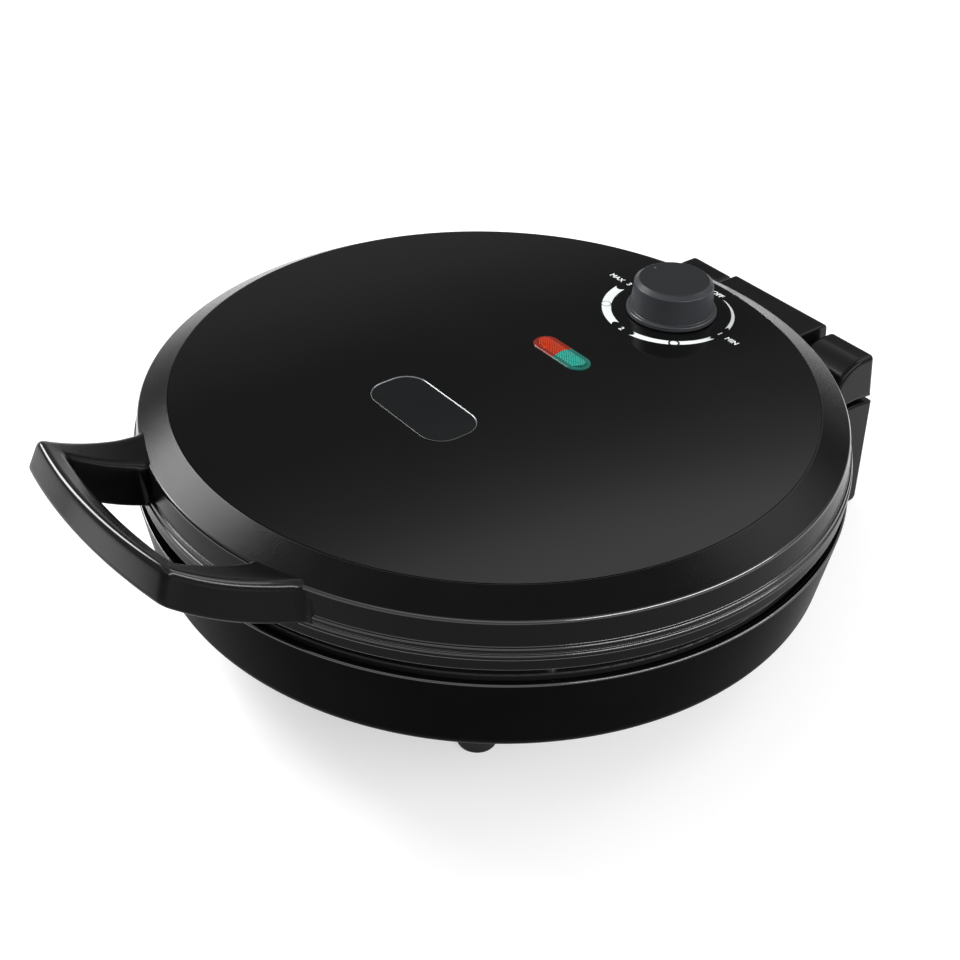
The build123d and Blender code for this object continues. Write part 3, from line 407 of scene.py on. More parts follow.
# Hinge ears: two caps of the same plastic, screwed down onto the legs over the hinge shaft. A
# dark slit parts each from its leg, and its top rounds over towards the lid.
ear_top, ear_top_back = hinge_z + 14.2, 202.4
ear_outline = np.concatenate(
    [
        crowned(ear_front, ear_back, slit_z, slit_crown),
        arc_corner((ear_back, slit_z), (ear_top_back, ear_top), (ear_front, ear_top), rounding=3.0),
        arc_corner(
            (ear_top_back, ear_top), (ear_front, ear_top), (ear_front, slit_z), rounding=19.0, steps=17
        ),
    ]
)
ear = slab(ear_outline, leg_inner, leg_outer, rounding=3.0, steps=8)
make_piece("ear_right", ear, hinge_plastic, "base", replaced=["hinge_ear_right"])
make_piece("ear_left", mirrored(ear), hinge_plastic, "base", replaced=["hinge_ear_left"])

# Lid rim: one moulding in glossier black plastic, with a sloped bevel, a side wall with a double
# bead, and ledges for the panel and the upper pan. The handle loop grows out of its front, and
# its lower edge stays a little above the base's rim.
panel_z = panel_high[2] / MM
rim_low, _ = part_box("lid_rim")
lid_edge = rim_low[2] / MM
shoulder_z = lid_edge + 23.6
bevel_inner, shoulder_radius, lid_edge_radius = 155.5, 170.2, 172.9
lid_side = (
    (bevel_inner, panel_z - 2.0),
    (bevel_inner, panel_z, 0.25),
    (shoulder_radius, shoulder_z, 2.2),
    (171.55, lid_edge + 11.9, 0.5),
    (172.65, lid_edge + 11.4, 0.9),
    (172.75, lid_edge + 9.0, 0.9),
    (171.9, lid_edge + 8.65, 0.3),
    (173.3, lid_edge + 8.2, 0.8),
    (173.45, lid_edge + 5.9, 0.9),
    (172.35, lid_edge + 5.4, 0.4),
    (lid_edge_radius, lid_edge, 0.8),
    (170.3, lid_edge, 0.8),
    (170.1, lid_edge + 1.0),
    (158.5, lid_edge + 1.0, 0.4),
    (158.5, lid_edge + 3.2, 0.4),
    (169.9, lid_edge + 3.2),
    (167.6, shoulder_z - 1.3),
    (156.0, panel_z - 4.6),
    (146.3, panel_z - 4.6, 0.4),
    (146.3, panel_z - 2.0, 0.4),
)

# The handle loop, seen from above, has an outer edge that spreads and leans forwards below
# handle_z by a share of the drop, and a finger gap that narrows as it goes down. Its top and its
# underside are circles through three (y, z) places, and its middle hangs lower by the smile.
handle_z = base_rim + 57.3
handle_draft, handle_lean = 0.19, 0.17
root_half, elbow_half, bar_half = 63.9, 60.6, 55.8
root_y, elbow_y, bar_y = -147.0, -166.0, -209.0
elbow_bend, bar_end_bend, bar_bow = 24.0, 4.5, 6.0
gap_draft, gap_lean = 0.24, 0.34
gap_half, gap_front_y = 47.7, -204.0
gap_sides = ((2.2, -150.0), (0.4, -190.0))
gap_bend, gap_bow = 6.0, 3.0
arm_points, bend_points, bar_points = 110, 9, 32
bow_points, bow_aim, bow_clearance = 41, 6, 0.3
rail_high, rail_low, rail_start, rail_rounds = 12, -60, -20, 12
handle_top = ((-154.0, base_rim + 30.7), (-184.0, base_rim + 41.7), (-209.0, base_rim + 57.4))
handle_under = ((-150.0, base_rim + 9.3), (-182.0, base_rim + 20.5), (-214.0, base_rim + 41.1))
handle_smile = 4.0
bend_radius = bar_half**2 / (2 * handle_smile)
side_fillets = np.array([4.0, 0.0, 2.0, 0.0])
edge_roundings = np.array([4.4, 2.6, 2.6, 3.6])
top_edge, front_face = slice(0, arc_steps), slice(arc_steps - 1, 2 * arc_steps - 1)
edge_polish, grip_polish = 0.22, 0.26
grip_x, grip_reach = 22.0, 36.0


def along(points, count):
    """A polyline resampled to evenly spaced points."""
    length = np.concatenate([[0], np.cumsum(np.linalg.norm(np.diff(points, axis=0), axis=1))])
    place = np.linspace(0, length[-1], count)
    return np.stack([np.interp(place, length, points[:, k]) for k in (0, 1)], -1)


def loop_line(arm, corner, bow, rounding):
    """Half loop seen from above, mirrored: an arm, a rounded corner and half a bowed bar. The
    bar's y falls by bow from the corner to the middle, as 1 - (x / corner x) squared. The
    corner's arc leads on towards one of the bar's first points."""
    x_corner, y_corner = corner
    t = np.linspace(0, 1, bow_points)
    bar_x = x_corner * (1 - t)
    bar = np.stack([bar_x, y_corner - bow * (1 - (bar_x / x_corner) ** 2)], -1)
    bend = arc_corner(arm[-1], corner, bar[bow_aim], rounding, bend_points)
    past_bend = np.abs(bar[:, 0]) < abs(bend[-1, 0]) - bow_clearance
    first = along(np.concatenate([arm, bend[:1]]), arm_points)
    last = along(np.concatenate([bend[-1:], bar[past_bend]]), bar_points)
    half = np.concatenate([first[:-1], bend, last[1:]])
    return np.concatenate([half, (half * np.array([-1, 1]))[-2::-1]])


def outer_line(z):
    """Outer edge of the handle at a height; it spreads and leans forwards as it goes down."""
    drop = handle_z - z
    spread = handle_draft * drop
    forward = -handle_lean * drop
    start = np.array([-root_half - spread, root_y + forward])
    bar_end = (-bar_half - spread, bar_y - spread + forward)
    elbow = arc_corner(start, (-elbow_half - spread, elbow_y + forward), bar_end, elbow_bend, bend_points)
    return loop_line(np.concatenate([[start], elbow]), bar_end, bar_bow, bar_end_bend)


def inner_line(z):
    """Edge of the finger gap at a height; it narrows as it goes down."""
    drop = handle_z - z
    half = gap_half - gap_draft * drop
    front = gap_front_y + gap_lean * drop
    arm = np.array([(-half - flare, y) for flare, y in gap_sides])
    return loop_line(arm, (-half, front), gap_bow, gap_bend)


def profile_height(curve, x, y):
    """Height of the circle through three (y, z) places, bent about a level axis far above, so
    that a point at height h moves to zc - sqrt((zc - h)^2 - x^2)."""
    (y1, z1), (y2, z2), (y3, z3) = curve
    matrix = np.array([[y2 - y1, z2 - z1], [y3 - y1, z3 - z1]]) * 2
    squares = np.array([y2**2 + z2**2 - y1**2 - z1**2, y3**2 + z3**2 - y1**2 - z1**2])
    cy, cz = np.linalg.solve(matrix, squares)
    radius = np.hypot(y1 - cy, z1 - cz)
    height = cz - np.sqrt(np.maximum(radius**2 - (y - cy) ** 2, 1.0)) - handle_smile
    axis_z = shoulder_z + bend_radius
    return axis_z - np.sqrt((axis_z - height) ** 2 - x**2)


def rail(line, curve):
    """Where a spreading edge meets the curved top or underside: between two level outlines, at
    rail_high and rail_low of handle_z, each point slides to the height of the curve above it,
    found in a few rounds from rail_start."""
    high_z, low_z = handle_z + rail_high, handle_z + rail_low
    high, low = line(high_z), line(low_z)
    z = np.full(len(high), handle_z + rail_start)
    for _ in range(rail_rounds):
        share = ((high_z - z) / (high_z - low_z))[:, None]
        place = high + (low - high) * share
        z = profile_height(curve, place[:, 0], place[:, 1])
    return np.concatenate([place, z[:, None]], -1)


def rounded_section(rails, rounding, steps):
    """Closed sections between four rails with rounded edges: each corner C becomes the curve
    (1-t)^2 A + 2t(1-t) C + t^2 B, where A and B lie on its two sides at the rounding."""
    t = np.linspace(0, 1, steps)[:, None, None]
    side = np.roll(rails, -1, axis=0) - rails
    side /= np.linalg.norm(side, axis=-1, keepdims=True)
    begin = rails - np.roll(side, 1, axis=0) * rounding[..., None]
    end = rails + side * rounding[..., None]
    loops = []
    for index, corner in enumerate(rails):
        a, b, c = begin[index], end[index], begin[(index + 1) % 4]
        loops.append((1 - t) ** 2 * a + 2 * t * (1 - t) * corner + t**2 * b)
        loops.append((1 - t[1:-1]) * b + t[1:-1] * c)
    return np.concatenate(loops).transpose(1, 0, 2)


def rim_distance(points):
    """Distance outside the rim's bevel and side wall, both straight in (radius, height)."""
    radius = np.hypot(points[..., 0], points[..., 1])
    height = points[..., 2]
    far = []
    for (r1, z1), (r2, z2) in (
        ((bevel_inner, panel_z), (shoulder_radius, shoulder_z)),
        ((shoulder_radius, shoulder_z), (lid_edge_radius, lid_edge)),
    ):
        normal = np.array([z1 - z2, r2 - r1]) / np.hypot(r2 - r1, z2 - z1)
        far.append((radius - r1) * normal[0] + (height - z1) * normal[1])
    return np.maximum(*far)


def handle_surface():
    """The loop: four rails with rounded sections between them. Near the rim each side moves out
    along its normal by r - sqrt(r^2 - (r - d)^2), the hollow of a fillet of radius r at distance
    d, and each rail takes the place where its two moved sides meet. The outer top edge is
    polished, and the front face round the grip, by 1 - ((x - grip x) / reach)^2."""
    rails = np.stack(
        [
            rail(outer_line, handle_top), rail(outer_line, handle_under),
            rail(inner_line, handle_under), rail(inner_line, handle_top),
        ]
    )
    path_way = np.gradient(rails.mean(axis=0), axis=0)
    side_way = np.roll(rails, -1, axis=0) - rails
    after = np.cross(side_way, path_way)
    after /= np.linalg.norm(after, axis=-1, keepdims=True)
    outward = np.sum(after * (rails + side_way / 2 - rails.mean(axis=0)), axis=-1)
    after *= np.sign(outward)[..., None]
    before = np.roll(after, 1, axis=0)
    far = rim_distance(rails)
    push = []
    for radius in (side_fillets, np.roll(side_fillets, 1)):
        near = np.clip(far, 0, radius[:, None])
        push.append(radius[:, None] - np.sqrt(radius[:, None] ** 2 - (radius[:, None] - near) ** 2))
    cross = np.sum(after * before, axis=-1)
    step_after = (push[0] - cross * push[1]) / (1 - cross**2)
    step_before = (push[1] - cross * push[0]) / (1 - cross**2)
    rails = rails + step_after[..., None] * after + step_before[..., None] * before
    rounding = edge_roundings[:, None] + (push[0] + push[1]) / 2
    sections = rounded_section(rails, rounding, arc_steps)
    count, around = sections.shape[:2]
    faces = grid_faces(count, around, False, True).tolist()
    faces.append(list(range(around))[::-1])
    faces.append(list(range((count - 1) * around, count * around)))
    shine = np.zeros((count, around))
    shine[:, top_edge] = edge_polish * np.sin(np.linspace(0, pi, arc_steps))
    grip = np.clip(1 - ((rails[0, :, 0] - grip_x) / grip_reach) ** 2, 0, 1)
    shine[:, front_face] = grip_polish * grip[:, None]
    return sections.reshape(-1, 3), faces, shine.ravel()


lid_plastic = plastic(
    "lid_plastic", (0.0024, 0.0025, 0.0027), (0.0034, 0.0035, 0.0038),
    roughness=0.18, grain_scale=1400.0, grain_depth=0.14, specular=0.09,
)
shiny_edges(lid_plastic)
lid_ring = turned(lid_side, wall_segments)
ring_shine = np.repeat(arc_weights(lid_side), wall_segments)
handle_points, handle_faces, handle_shine = handle_surface()
make_piece(
    "rim_and_handle", joined(lid_ring, (handle_points, handle_faces)), lid_plastic, "lid",
    replaced=["lid_rim"], shine=np.append(ring_shine, handle_shine),
)

# Hinge arm: the lid's knuckle block, moulded in the hinge's plastic and screwed to the ring. It
# fills the space between the two ears and turns round the shaft.
arm_half, arm_top = 34.0, hinge_z + 17.0
arm_front, arm_back = 160.0, 202.3
knuckle_y, knuckle_radius = 190.5, 13.5
knuckle_back = (knuckle_y + knuckle_radius, hinge_z)
turn = np.linspace(0, -pi, 33)
knuckle = np.stack(
    [knuckle_y + knuckle_radius * np.cos(turn), hinge_z + knuckle_radius * np.sin(turn)], -1
)
arm_outline = np.concatenate(
    [
        arc_corner((arm_front, arm_top), (arm_back, arm_top), knuckle_back, rounding=3.0),
        knuckle,
        [
            (176.6, hinge_z + 6.6), (168.0, hinge_z + 6.6), (arm_front, hinge_z + 12),
            (arm_front, arm_top),
        ],
    ]
)
arm = slab(arm_outline, -arm_half, arm_half, rounding=1.2)
make_piece("arm", arm, hinge_plastic, "lid", replaced=["hinge_arm"])

# Lid panel: a flat metal disc in gloss black paint, dropped into its seat in the lid rim. Its
# solid already has the right shape, so it is shown as it is, in the paint.
nodes = frame["nodes"]


def dress(slot, material):
    """The solids that take their finish from a slot of the record are shown in a material."""
    for name, node in nodes.items():
        if slots[name] == slot:
            node.data.materials.clear()
            node.data.materials.append(material)


panel_paint, tree, shader = new_material("panel_paint", Specular_IOR_Level=0.2)
marks = add_group(tree, smudges, Scale=9.0, Contrast=0.22).outputs["Mask"]
colour = shader.inputs["Base Color"]
vary_colour(tree, marks, colour, (0.0034, 0.0035, 0.0038), (0.0042, 0.0042, 0.0044))
vary(tree, marks, shader.inputs["Roughness"], 0.06, 0.09)
dress("lid_panel_gloss", panel_paint)

# Nameplate: a small bare plate of metal let into the panel in front of its middle. Its cut edge
# stands proud and is bright all round, and its face, a little lower, is painted dark.
plate_low, plate_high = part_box("nameplate")
plate_y = (plate_low[1] + plate_high[1]) / 2 / MM - centre_y / MM
plate_half = np.array([plate_high[0] - plate_low[0], plate_high[1] - plate_low[1]]) / 2 / MM
plate_top = plate_high[2] / MM
plate_corner = 11.8


def plate_outline(inset):
    """Rounded rectangle about the plate's middle, drawn in by an inset."""
    half_x, half_y = plate_half - inset
    corners = [(half_x, half_y), (-half_x, half_y), (-half_x, -half_y), (half_x, -half_y)]
    outline = rounded_outline([(x, y, plate_corner - inset) for x, y in corners], steps=13)
    return outline + np.array([0.0, plate_y])


def stacked(rings):
    """Closed outlines at given heights, one above another, each (outline, height)."""
    rows = [np.concatenate([flat, np.full((len(flat), 1), z)], -1) for flat, z in rings]
    return np.concatenate(rows), grid_faces(len(rows), len(rows[0]), False, True).tolist()


face_paint = plastic(
    "nameplate_face", (0.0042, 0.0045, 0.005), (0.005, 0.0053, 0.0058),
    roughness=0.24, grain_scale=900.0, grain_depth=0.02, specular=0.1,
)
face_points, face_quads = stacked(
    [(plate_outline(0.4), plate_top - 0.35), (plate_outline(0.52), plate_top - 0.3)]
)
face_quads.append(list(range(len(face_points) // 2, len(face_points))))
make_piece("nameplate_face", (face_points, face_quads), face_paint, "lid", replaced=["nameplate"])

cut_edge, tree, shader = new_material("nameplate_cut_edge", Metallic=1.0)
marks = add_group(tree, smudges, Scale=60.0, Contrast=0.3).outputs["Mask"]
vary_colour(tree, marks, shader.inputs["Base Color"], (0.22, 0.225, 0.23), (0.3, 0.31, 0.32))
vary(tree, marks, shader.inputs["Roughness"], 0.3, 0.38)
edge_rings = [
    (plate_outline(0.0), plate_top - 0.8), (plate_outline(0.0), plate_top - 0.04),
    (plate_outline(0.14), plate_top), (plate_outline(0.46), plate_top - 0.34),
]
make_piece("nameplate_edge", stacked(edge_rings), cut_edge, "lid")

# Dial print: white screen print on the panel round the knob. A band in three stretches grows
# wider from OFF to MAX, with a number at each gap and at its end, and two dark rings on it.
knob_y = 116.0
print_z = panel_z + 0.06
band_inner, band_width, band_notch = 31.0, 5.3, 3.2
band_first, band_last = 76.0, -171.0
band_rows, band_columns = 7, 48
stretches = ((band_first, 18.0), (-3.0, -81.0), (-102.0, band_last))
letter_size, stroke_swell = 4.4, 0.11
words = (
    ("OFF", 87, 32.0), ("1", 7, 31.9), ("MIN", 5, 40.5), ("2", -92, 33.5), ("3", 178, 33.4),
    ("MAX", 179, 42.4),
)
ring_z, ring_segments = print_z + 0.02, 32


def band(first, last):
    """Stretch of the print between two angles: radii r to r + w t^0.6, where t runs from 0 at
    the band's thin end to 1 at its wide end. Both ends are hollowed as 4 s (1 - s) across."""
    rows = []
    for across in np.linspace(0, 1, band_rows):
        notch = np.sign(last - first) * band_notch * 4 * across * (1 - across)
        angle = np.linspace(first + notch, last - notch, band_columns)
        share = (band_first - np.linspace(first, last, band_columns)) / (band_first - band_last)
        radius = band_inner + band_width * share**0.6 * across
        x = radius * np.cos(np.radians(angle))
        y = knob_y + radius * np.sin(np.radians(angle))
        rows.append(np.stack([x, y, np.full(band_columns, print_z)], -1))
    return np.concatenate(rows), grid_faces(band_rows, band_columns)


def flat_ring(angle, reach, inner, outer):
    """Small flat ring between two radii r, as x = r cos t, y = r sin t about a middle, which
    lies at an angle and distance from the knob's axis."""
    turn = np.linspace(0, 2 * pi, ring_segments, endpoint=False)
    middle = np.array([reach * cos(radians(angle)), knob_y + reach * sin(radians(angle))])
    rows = []
    for radius in (inner, outer):
        flat = middle + radius * np.stack([np.cos(turn), np.sin(turn)], -1)
        rows.append(np.concatenate([flat, np.full((ring_segments, 1), ring_z)], -1))
    return np.concatenate(rows), grid_faces(2, ring_segments, False, True)


def lettering(text, angle, reach):
    """Text made a mesh, centred at an angle and distance from the knob's axis, facing up."""
    curve = bpy.data.curves.new(text, "FONT")
    curve.body = text
    curve.size = letter_size
    curve.align_x = "CENTER"
    curve.align_y = "CENTER"
    curve.offset = stroke_swell
    holder = bpy.data.objects.new(text, curve)
    mesh = bpy.data.meshes.new_from_object(holder)
    bpy.data.objects.remove(holder)
    points = np.zeros(len(mesh.vertices) * 3)
    mesh.vertices.foreach_get("co", points)
    points = points.reshape(-1, 3)
    points[:, 0] += reach * cos(radians(angle))
    points[:, 1] += knob_y + reach * sin(radians(angle))
    points[:, 2] = print_z
    return points, [list(face.vertices) for face in mesh.polygons]


print_white, tree, shader = new_material("print_white", Roughness=0.5)
marks = add_group(tree, smudges, Scale=300.0, Contrast=0.3).outputs["Mask"]
vary_colour(tree, marks, shader.inputs["Base Color"], (0.66, 0.69, 0.69), (0.74, 0.76, 0.76))
print_shapes = [band(*stretch) for stretch in stretches] + [lettering(*word) for word in words]
make_piece("dial_print", joined(*print_shapes), print_white, "lid")
ring_ink = plastic(
    "ring_ink", (0.006, 0.0062, 0.0066), (0.008, 0.0082, 0.0086),
    roughness=0.3, grain_scale=900.0, grain_depth=0.01, specular=0.2,
)
wide_ring = flat_ring(angle=-41.0, reach=32.9, inner=2.0, outer=3.0)
thin_ring = flat_ring(angle=-137.5, reach=33.7, inner=2.35, outer=2.75)
make_piece("dial_rings", joined(wide_ring, thin_ring), ring_ink, "lid")

# Dial knob: moulded in satin grey-black plastic and pressed onto the thermostat's shaft, with a
# flared skirt. Its top is painted darker than its sides, as painted shade for the light that
# falls more on the sides. A small pale dot near the top's edge is its pointer.
knob_low, knob_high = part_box("dial_knob")
knob_under, knob_top = knob_low[2] / MM, knob_high[2] / MM
knob_segments = 160
knob_side = (
    (0.0, knob_under + 2.0),
    (19.0, knob_under + 2.0),
    (19.4, knob_under),
    (23.4, knob_under, 0.3),
    (23.1, knob_under + 2.1, 0.5),
    (21.7, knob_under + 2.4, 0.2),
    (21.2, knob_under + 2.0, 0.3),
    (21.4, knob_under + 3.2, 0.4),
    (20.3, knob_top - 2.1, 0.5),
    (18.0, knob_top, 0.5),
    (0.0, knob_top),
)
knob_polish = 0.4
shade_starts, shade_ends = 0.25, 0.05
dot_radius, dot_reach = 0.6, 14.4
dot_under, dot_top = knob_top - 0.3, knob_top + 0.02


def painted_shade_top(material, height, dark):
    """Painted shade: just below a height in millimetres the colour goes over to a darker one, so
    that the top face looks less lit than the sides.
    """
    tree = material.node_tree
    socket = tree.nodes["Principled BSDF"].inputs["Base Color"]
    sides = socket.links[0].from_socket
    place = tree.nodes.new("ShaderNodeTexCoord")
    parts = tree.nodes.new("ShaderNodeSeparateXYZ")
    above = tree.nodes.new("ShaderNodeMapRange")
    above.inputs["From Min"].default_value = (height - shade_starts) * MM
    above.inputs["From Max"].default_value = (height - shade_ends) * MM
    mix = tree.nodes.new("ShaderNodeMix")
    mix.data_type = "RGBA"
    mix.inputs[7].default_value = (*dark, 1)
    tree.links.new(place.outputs["Object"], parts.inputs["Vector"])
    tree.links.new(parts.outputs["Z"], above.inputs["Value"])
    tree.links.new(above.outputs["Result"], mix.inputs[0])
    tree.links.new(sides, mix.inputs[6])
    tree.links.new(mix.outputs[2], socket)


knob_plastic = plastic(
    "knob_plastic", (0.039, 0.041, 0.0455), (0.046, 0.048, 0.0525),
    roughness=0.38, grain_scale=2000.0, grain_depth=0.03, specular=0.1,
)
# Painted shade: the top face is coloured darker than the sides, as though less lit.
painted_shade_top(knob_plastic, knob_top, dark=(0.0125, 0.0132, 0.0146))
shiny_edges(knob_plastic)
knob_points, knob_faces = turned(knob_side, knob_segments)
knob_points[:, 1] += knob_y
make_piece(
    "knob", (knob_points, knob_faces), knob_plastic, "knob", replaced=["dial_knob"],
    shine=knob_polish * np.repeat(arc_weights(knob_side), knob_segments),
)
dot_side = ((0, dot_under), (dot_radius, dot_under), (dot_radius, dot_top), (0, dot_top))
dot_paint = plastic(
    "dot_paint", (0.1, 0.1, 0.1), (0.14, 0.14, 0.14),
    roughness=0.5, grain_scale=900.0, grain_depth=0.01, specular=0.2,
)
dot_points, dot_faces = turned(dot_side, segments=32)
dot_points += np.array([-dot_reach, knob_y, 0])
make_piece("knob_dot", (dot_points, dot_faces), dot_paint, "knob")

# Indicator lamps: a pill of clear moulded plastic in the panel, with a red and a green lens in
# it. Two small glass neon lamps sit under them in a holder of pale plastic, which the terminal
# block for the cord is moulded in too.
rib_slants, rib_scale = (38, -52), 285.0


def ribbed_lens(name, deep, pale):
    """Coloured clear plastic over a cross-ribbed inner face: ribs every 1.1 mm along two slants
    catch the light, and the colour is painted paler along them as a painted highlight."""
    material, tree, shader = new_material(name, Roughness=0.16, Specular_IOR_Level=0.09)
    place = tree.nodes.new("ShaderNodeTexCoord")
    height = tree.nodes.new("ShaderNodeMath")
    height.operation = "MAXIMUM"
    for index, angle in enumerate(rib_slants):
        turn = tree.nodes.new("ShaderNodeMapping")
        turn.inputs["Rotation"].default_value = (0, 0, radians(angle))
        ribs = tree.nodes.new("ShaderNodeTexWave")
        ribs.inputs["Scale"].default_value = rib_scale
        tree.links.new(place.outputs["Object"], turn.inputs["Vector"])
        tree.links.new(turn.outputs["Vector"], ribs.inputs["Vector"])
        tree.links.new(ribs.outputs["Fac"], height.inputs[index])
    # Painted highlight: the colour goes from deep to pale along the ribs.
    vary_colour(tree, height.outputs[0], shader.inputs["Base Color"], deep, pale)
    bumped(tree, height.outputs[0], shader, strength=0.7, depth=0.2)
    return material


def pill_bezel():
    """Clear plastic rim of the lamps, painted in the colour of the lens beside it, red on the left
    of the middle and green on the right: painted light that shines through it from the lenses."""
    material, tree, shader = new_material("pill_bezel", Roughness=0.2, Specular_IOR_Level=0.2)
    place = tree.nodes.new("ShaderNodeTexCoord")
    parts = tree.nodes.new("ShaderNodeSeparateXYZ")
    side = tree.nodes.new("ShaderNodeMapRange")
    side.inputs["From Min"].default_value = -0.4 * MM
    side.inputs["From Max"].default_value = 0.4 * MM
    tree.links.new(place.outputs["Object"], parts.inputs["Vector"])
    tree.links.new(parts.outputs["X"], side.inputs["Value"])
    colour = shader.inputs["Base Color"]
    # Painted light: red and green as the lenses' colour would shine through the clear rim.
    vary_colour(tree, side.outputs["Result"], colour, (0.16, 0.012, 0.005), (0.01, 0.1, 0.08))
    return material


lamp_glass = plastic(
    "lamp_glass", (0.7, 0.7, 0.7), (0.8, 0.8, 0.8), roughness=0.1, grain_scale=600.0, grain_depth=0.01
)
inner_plastic = plastic(
    "inner_plastic", (0.55, 0.53, 0.48), (0.62, 0.6, 0.55),
    roughness=0.5, grain_scale=900.0, grain_depth=0.04,
)
dress("bezel_plastic", pill_bezel())
dress("red_lens", ribbed_lens("red_lens", deep=(0.03, 0.001, 0.0005), pale=(0.44, 0.03, 0.004)))
dress("green_lens", ribbed_lens("green_lens", deep=(0.0006, 0.02, 0.016), pale=(0.022, 0.31, 0.24)))
dress("lamp_glass", lamp_glass)
dress("inner_plastic", inner_plastic)

# Cooking plates: two cast metal pans with a black non-stick coat, which their screws hold on the
# ledges of base and lid. They show when the lid is open.
pan_coat = plastic(
    "nonstick_plate", (0.011, 0.011, 0.011), (0.016, 0.016, 0.016),
    roughness=0.45, grain_scale=1200.0, grain_depth=0.05,
)
dress("nonstick_plate", pan_coat)

# Heating parts: behind each pan lie a tubular element with a heat-stained sheath and a shield
# pressed from aluminised sheet. The element's clamps, the thermal fuses with their straps and
# the thermostat's bracket are zinc-plated steel.


def metal(name, dark, light, roughness, cloud_scale):
    """Bare or plated metal, cloudy in tone and roughness."""
    material, tree, shader = new_material(name, Metallic=1.0)
    marks = add_group(tree, smudges, Scale=cloud_scale, Contrast=0.3)
    vary_colour(tree, marks.outputs["Mask"], shader.inputs["Base Color"], dark, light)
    vary(tree, marks.outputs["Mask"], shader.inputs["Roughness"], roughness - 0.06, roughness + 0.08)
    return material


shield_sheet = metal(
    "aluminised_sheet", (0.6, 0.61, 0.62), (0.74, 0.75, 0.76), roughness=0.35, cloud_scale=40.0
)
sheath_steel = metal(
    "element_sheath", (0.16, 0.14, 0.13), (0.26, 0.24, 0.23), roughness=0.5, cloud_scale=60.0
)
zinc_steel = metal(
    "zinc_steel", (0.5, 0.51, 0.52), (0.62, 0.63, 0.64), roughness=0.35, cloud_scale=90.0
)
dress("aluminised_sheet", shield_sheet)
dress("element_sheath", sheath_steel)
dress("zinc_steel", zinc_steel)

# Thermostat and shafts: a pale ceramic body on its bracket under the knob, and the knob's and
# the hinge's shafts with the hinge's washers, all turned from steel.
body_ceramic = plastic(
    "thermostat_body", (0.7, 0.68, 0.62), (0.78, 0.76, 0.7),
    roughness=0.55, grain_scale=900.0, grain_depth=0.05,
)
shaft_steel = metal(
    "shaft_steel", (0.52, 0.52, 0.52), (0.62, 0.62, 0.62), roughness=0.25, cloud_scale=120.0
)
dress("thermostat_body", body_ceramic)
dress("shaft_steel", shaft_steel)

# Underside and screws: a matt black plastic cover that closes the bowl's floor, four rubber feet,
# the rubber bush in the cord's inlet, and the plated steel screws that hold all these pieces.
cover_plastic = plastic(
    "bottom_plastic", (0.008, 0.008, 0.0085), (0.011, 0.011, 0.0115),
    roughness=0.5, grain_scale=700.0, grain_depth=0.08,
)
foot_rubber = plastic(
    "foot_rubber", (0.012, 0.012, 0.012), (0.017, 0.017, 0.017),
    roughness=0.7, grain_scale=900.0, grain_depth=0.06, specular=0.3,
)
screw_steel = metal(
    "screw_steel", (0.42, 0.42, 0.42), (0.55, 0.55, 0.55), roughness=0.3, cloud_scale=150.0
)
dress("bottom_plastic", cover_plastic)
dress("foot_rubber", foot_rubber)
dress("screw_steel", screw_steel)

# Studio floor: a pale matt floor that keeps the object's shadow. The camera, and gloss and clear
# pieces, also see it glow, which lifts it to white.
floor_half = 20.0
floor_grey, floor_glow = 0.55, 0.55
floor_paint, tree, shader = new_material(
    "floor_paint", Base_Color=(floor_grey, floor_grey, floor_grey, 1), Roughness=1.0
)
path = tree.nodes.new("ShaderNodeLightPath")
direct = tree.nodes.new("ShaderNodeMath")
direct.operation = "MAXIMUM"
seen = tree.nodes.new("ShaderNodeMath")
seen.operation = "MAXIMUM"
strength = tree.nodes.new("ShaderNodeMath")
strength.operation = "MULTIPLY"
strength.inputs[1].default_value = floor_glow
glow = tree.nodes.new("ShaderNodeEmission")
both = tree.nodes.new("ShaderNodeAddShader")
tree.links.new(path.outputs["Is Camera Ray"], direct.inputs[0])
tree.links.new(path.outputs["Is Glossy Ray"], direct.inputs[1])
tree.links.new(direct.outputs[0], seen.inputs[0])
tree.links.new(path.outputs["Is Transmission Ray"], seen.inputs[1])
tree.links.new(seen.outputs[0], strength.inputs[0])
tree.links.new(strength.outputs[0], glow.inputs["Strength"])
tree.links.new(glow.outputs[0], both.inputs[0])
tree.links.new(shader.outputs[0], both.inputs[1])
tree.links.new(both.outputs[0], tree.nodes["Material Output"].inputs["Surface"])
floor_corners = [
    (-floor_half, -floor_half, 0), (floor_half, -floor_half, 0), (floor_half, floor_half, 0),
    (-floor_half, floor_half, 0),
]
floor_mesh = bpy.data.meshes.new("floor")
floor_mesh.from_pydata(floor_corners, [], [(0, 1, 2, 3)])
floor_mesh.materials.append(floor_paint)
floor = bpy.data.objects.new("floor", floor_mesh)
bpy.context.scene.collection.objects.link(floor)

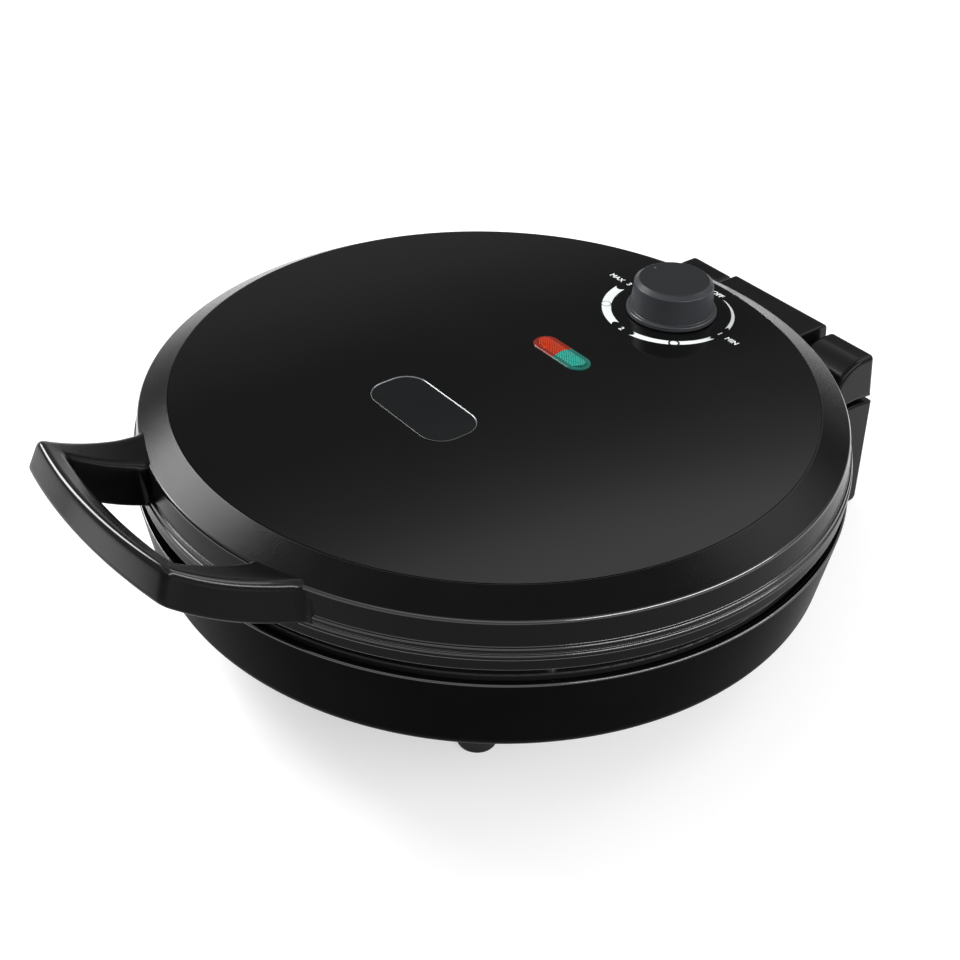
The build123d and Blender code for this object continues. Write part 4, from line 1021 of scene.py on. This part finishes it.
# Studio room: grey walls, a dark band a third of the way up, a bright one right above it and a
# softer ceiling, all tilted so that they hang lower at the back right. Each place is the sine of
# the angle above level.
room = (
    (0.0, 0.45), (0.12, 0.45), (0.3, 0.35), (0.43, 0.3), (0.475, 0.11), (0.51, 0.1), (0.545, 0.2),
    (0.572, 0.5), (0.595, 1.1), (0.615, 1.45), (0.68, 1.3), (0.78, 0.7), (1.0, 0.55),
)
world = bpy.data.worlds.new("studio")
bpy.context.scene.world = world
world.use_nodes = True
tree = world.node_tree
way = tree.nodes.new("ShaderNodeTexCoord")
tilt = tree.nodes.new("ShaderNodeVectorMath")
tilt.operation = "DOT_PRODUCT"
tilt.inputs[1].default_value = (0.19, 0.19, 1.0)
ramp = tree.nodes.new("ShaderNodeValToRGB")
stops = ramp.color_ramp.elements
for index, (height, brightness) in enumerate(room):
    stop = stops[index] if index < 2 else stops.new(height)
    stop.position = height
    stop.color = (brightness, brightness, brightness, 1)
tree.links.new(way.outputs["Generated"], tilt.inputs[0])
tree.links.new(tilt.outputs["Value"], ramp.inputs["Fac"])
tree.links.new(ramp.outputs["Color"], tree.nodes["Background"].inputs["Color"])

# Studio lamps: a softbox at the left, whose reflection is the highlight on the bevel, a weak one
# behind, and a wide low strip at the right for the lines along the lid's side.
lamps_aim_at = (0, 0, 0.1)


def soft_light(name, place, width, height, power):
    """Area lamp that faces the object's middle; metres and watts."""
    lamp = bpy.data.lights.new(name, "AREA")
    lamp.shape = "RECTANGLE"
    lamp.size = width
    lamp.size_y = height
    lamp.energy = power
    holder = bpy.data.objects.new(name, lamp)
    bpy.context.scene.collection.objects.link(holder)
    holder.location = place
    way = np.array(lamps_aim_at) - np.array(place)
    holder.rotation_euler = Vector(way).to_track_quat("-Z", "Y").to_euler()


soft_light("left_softbox", (-0.90, -0.37, 0.83), width=0.54, height=0.6, power=19.0)
soft_light("back_softbox", (0.3, 0.86, 0.95), width=0.55, height=0.5, power=2.3)
soft_light("right_softbox", (1.08, 0.30, 0.62), width=1.4, height=0.2, power=7.5)

# Camera: in front at the right and above, where the photograph was taken from, with its small
# roll. Place in metres.
camera_data = bpy.data.cameras.new("camera")
camera_data.lens = 62.87
camera_data.sensor_width = 36.0
camera = bpy.data.objects.new("camera", camera_data)
bpy.context.scene.collection.objects.link(camera)
camera.location = (0.52605, centre_y - 0.43782, 0.54755)
camera.rotation_euler = (radians(54.594), radians(-1.678), radians(51.893))
bpy.context.scene.camera = camera
bpy.context.scene.view_settings.view_transform = "Standard"
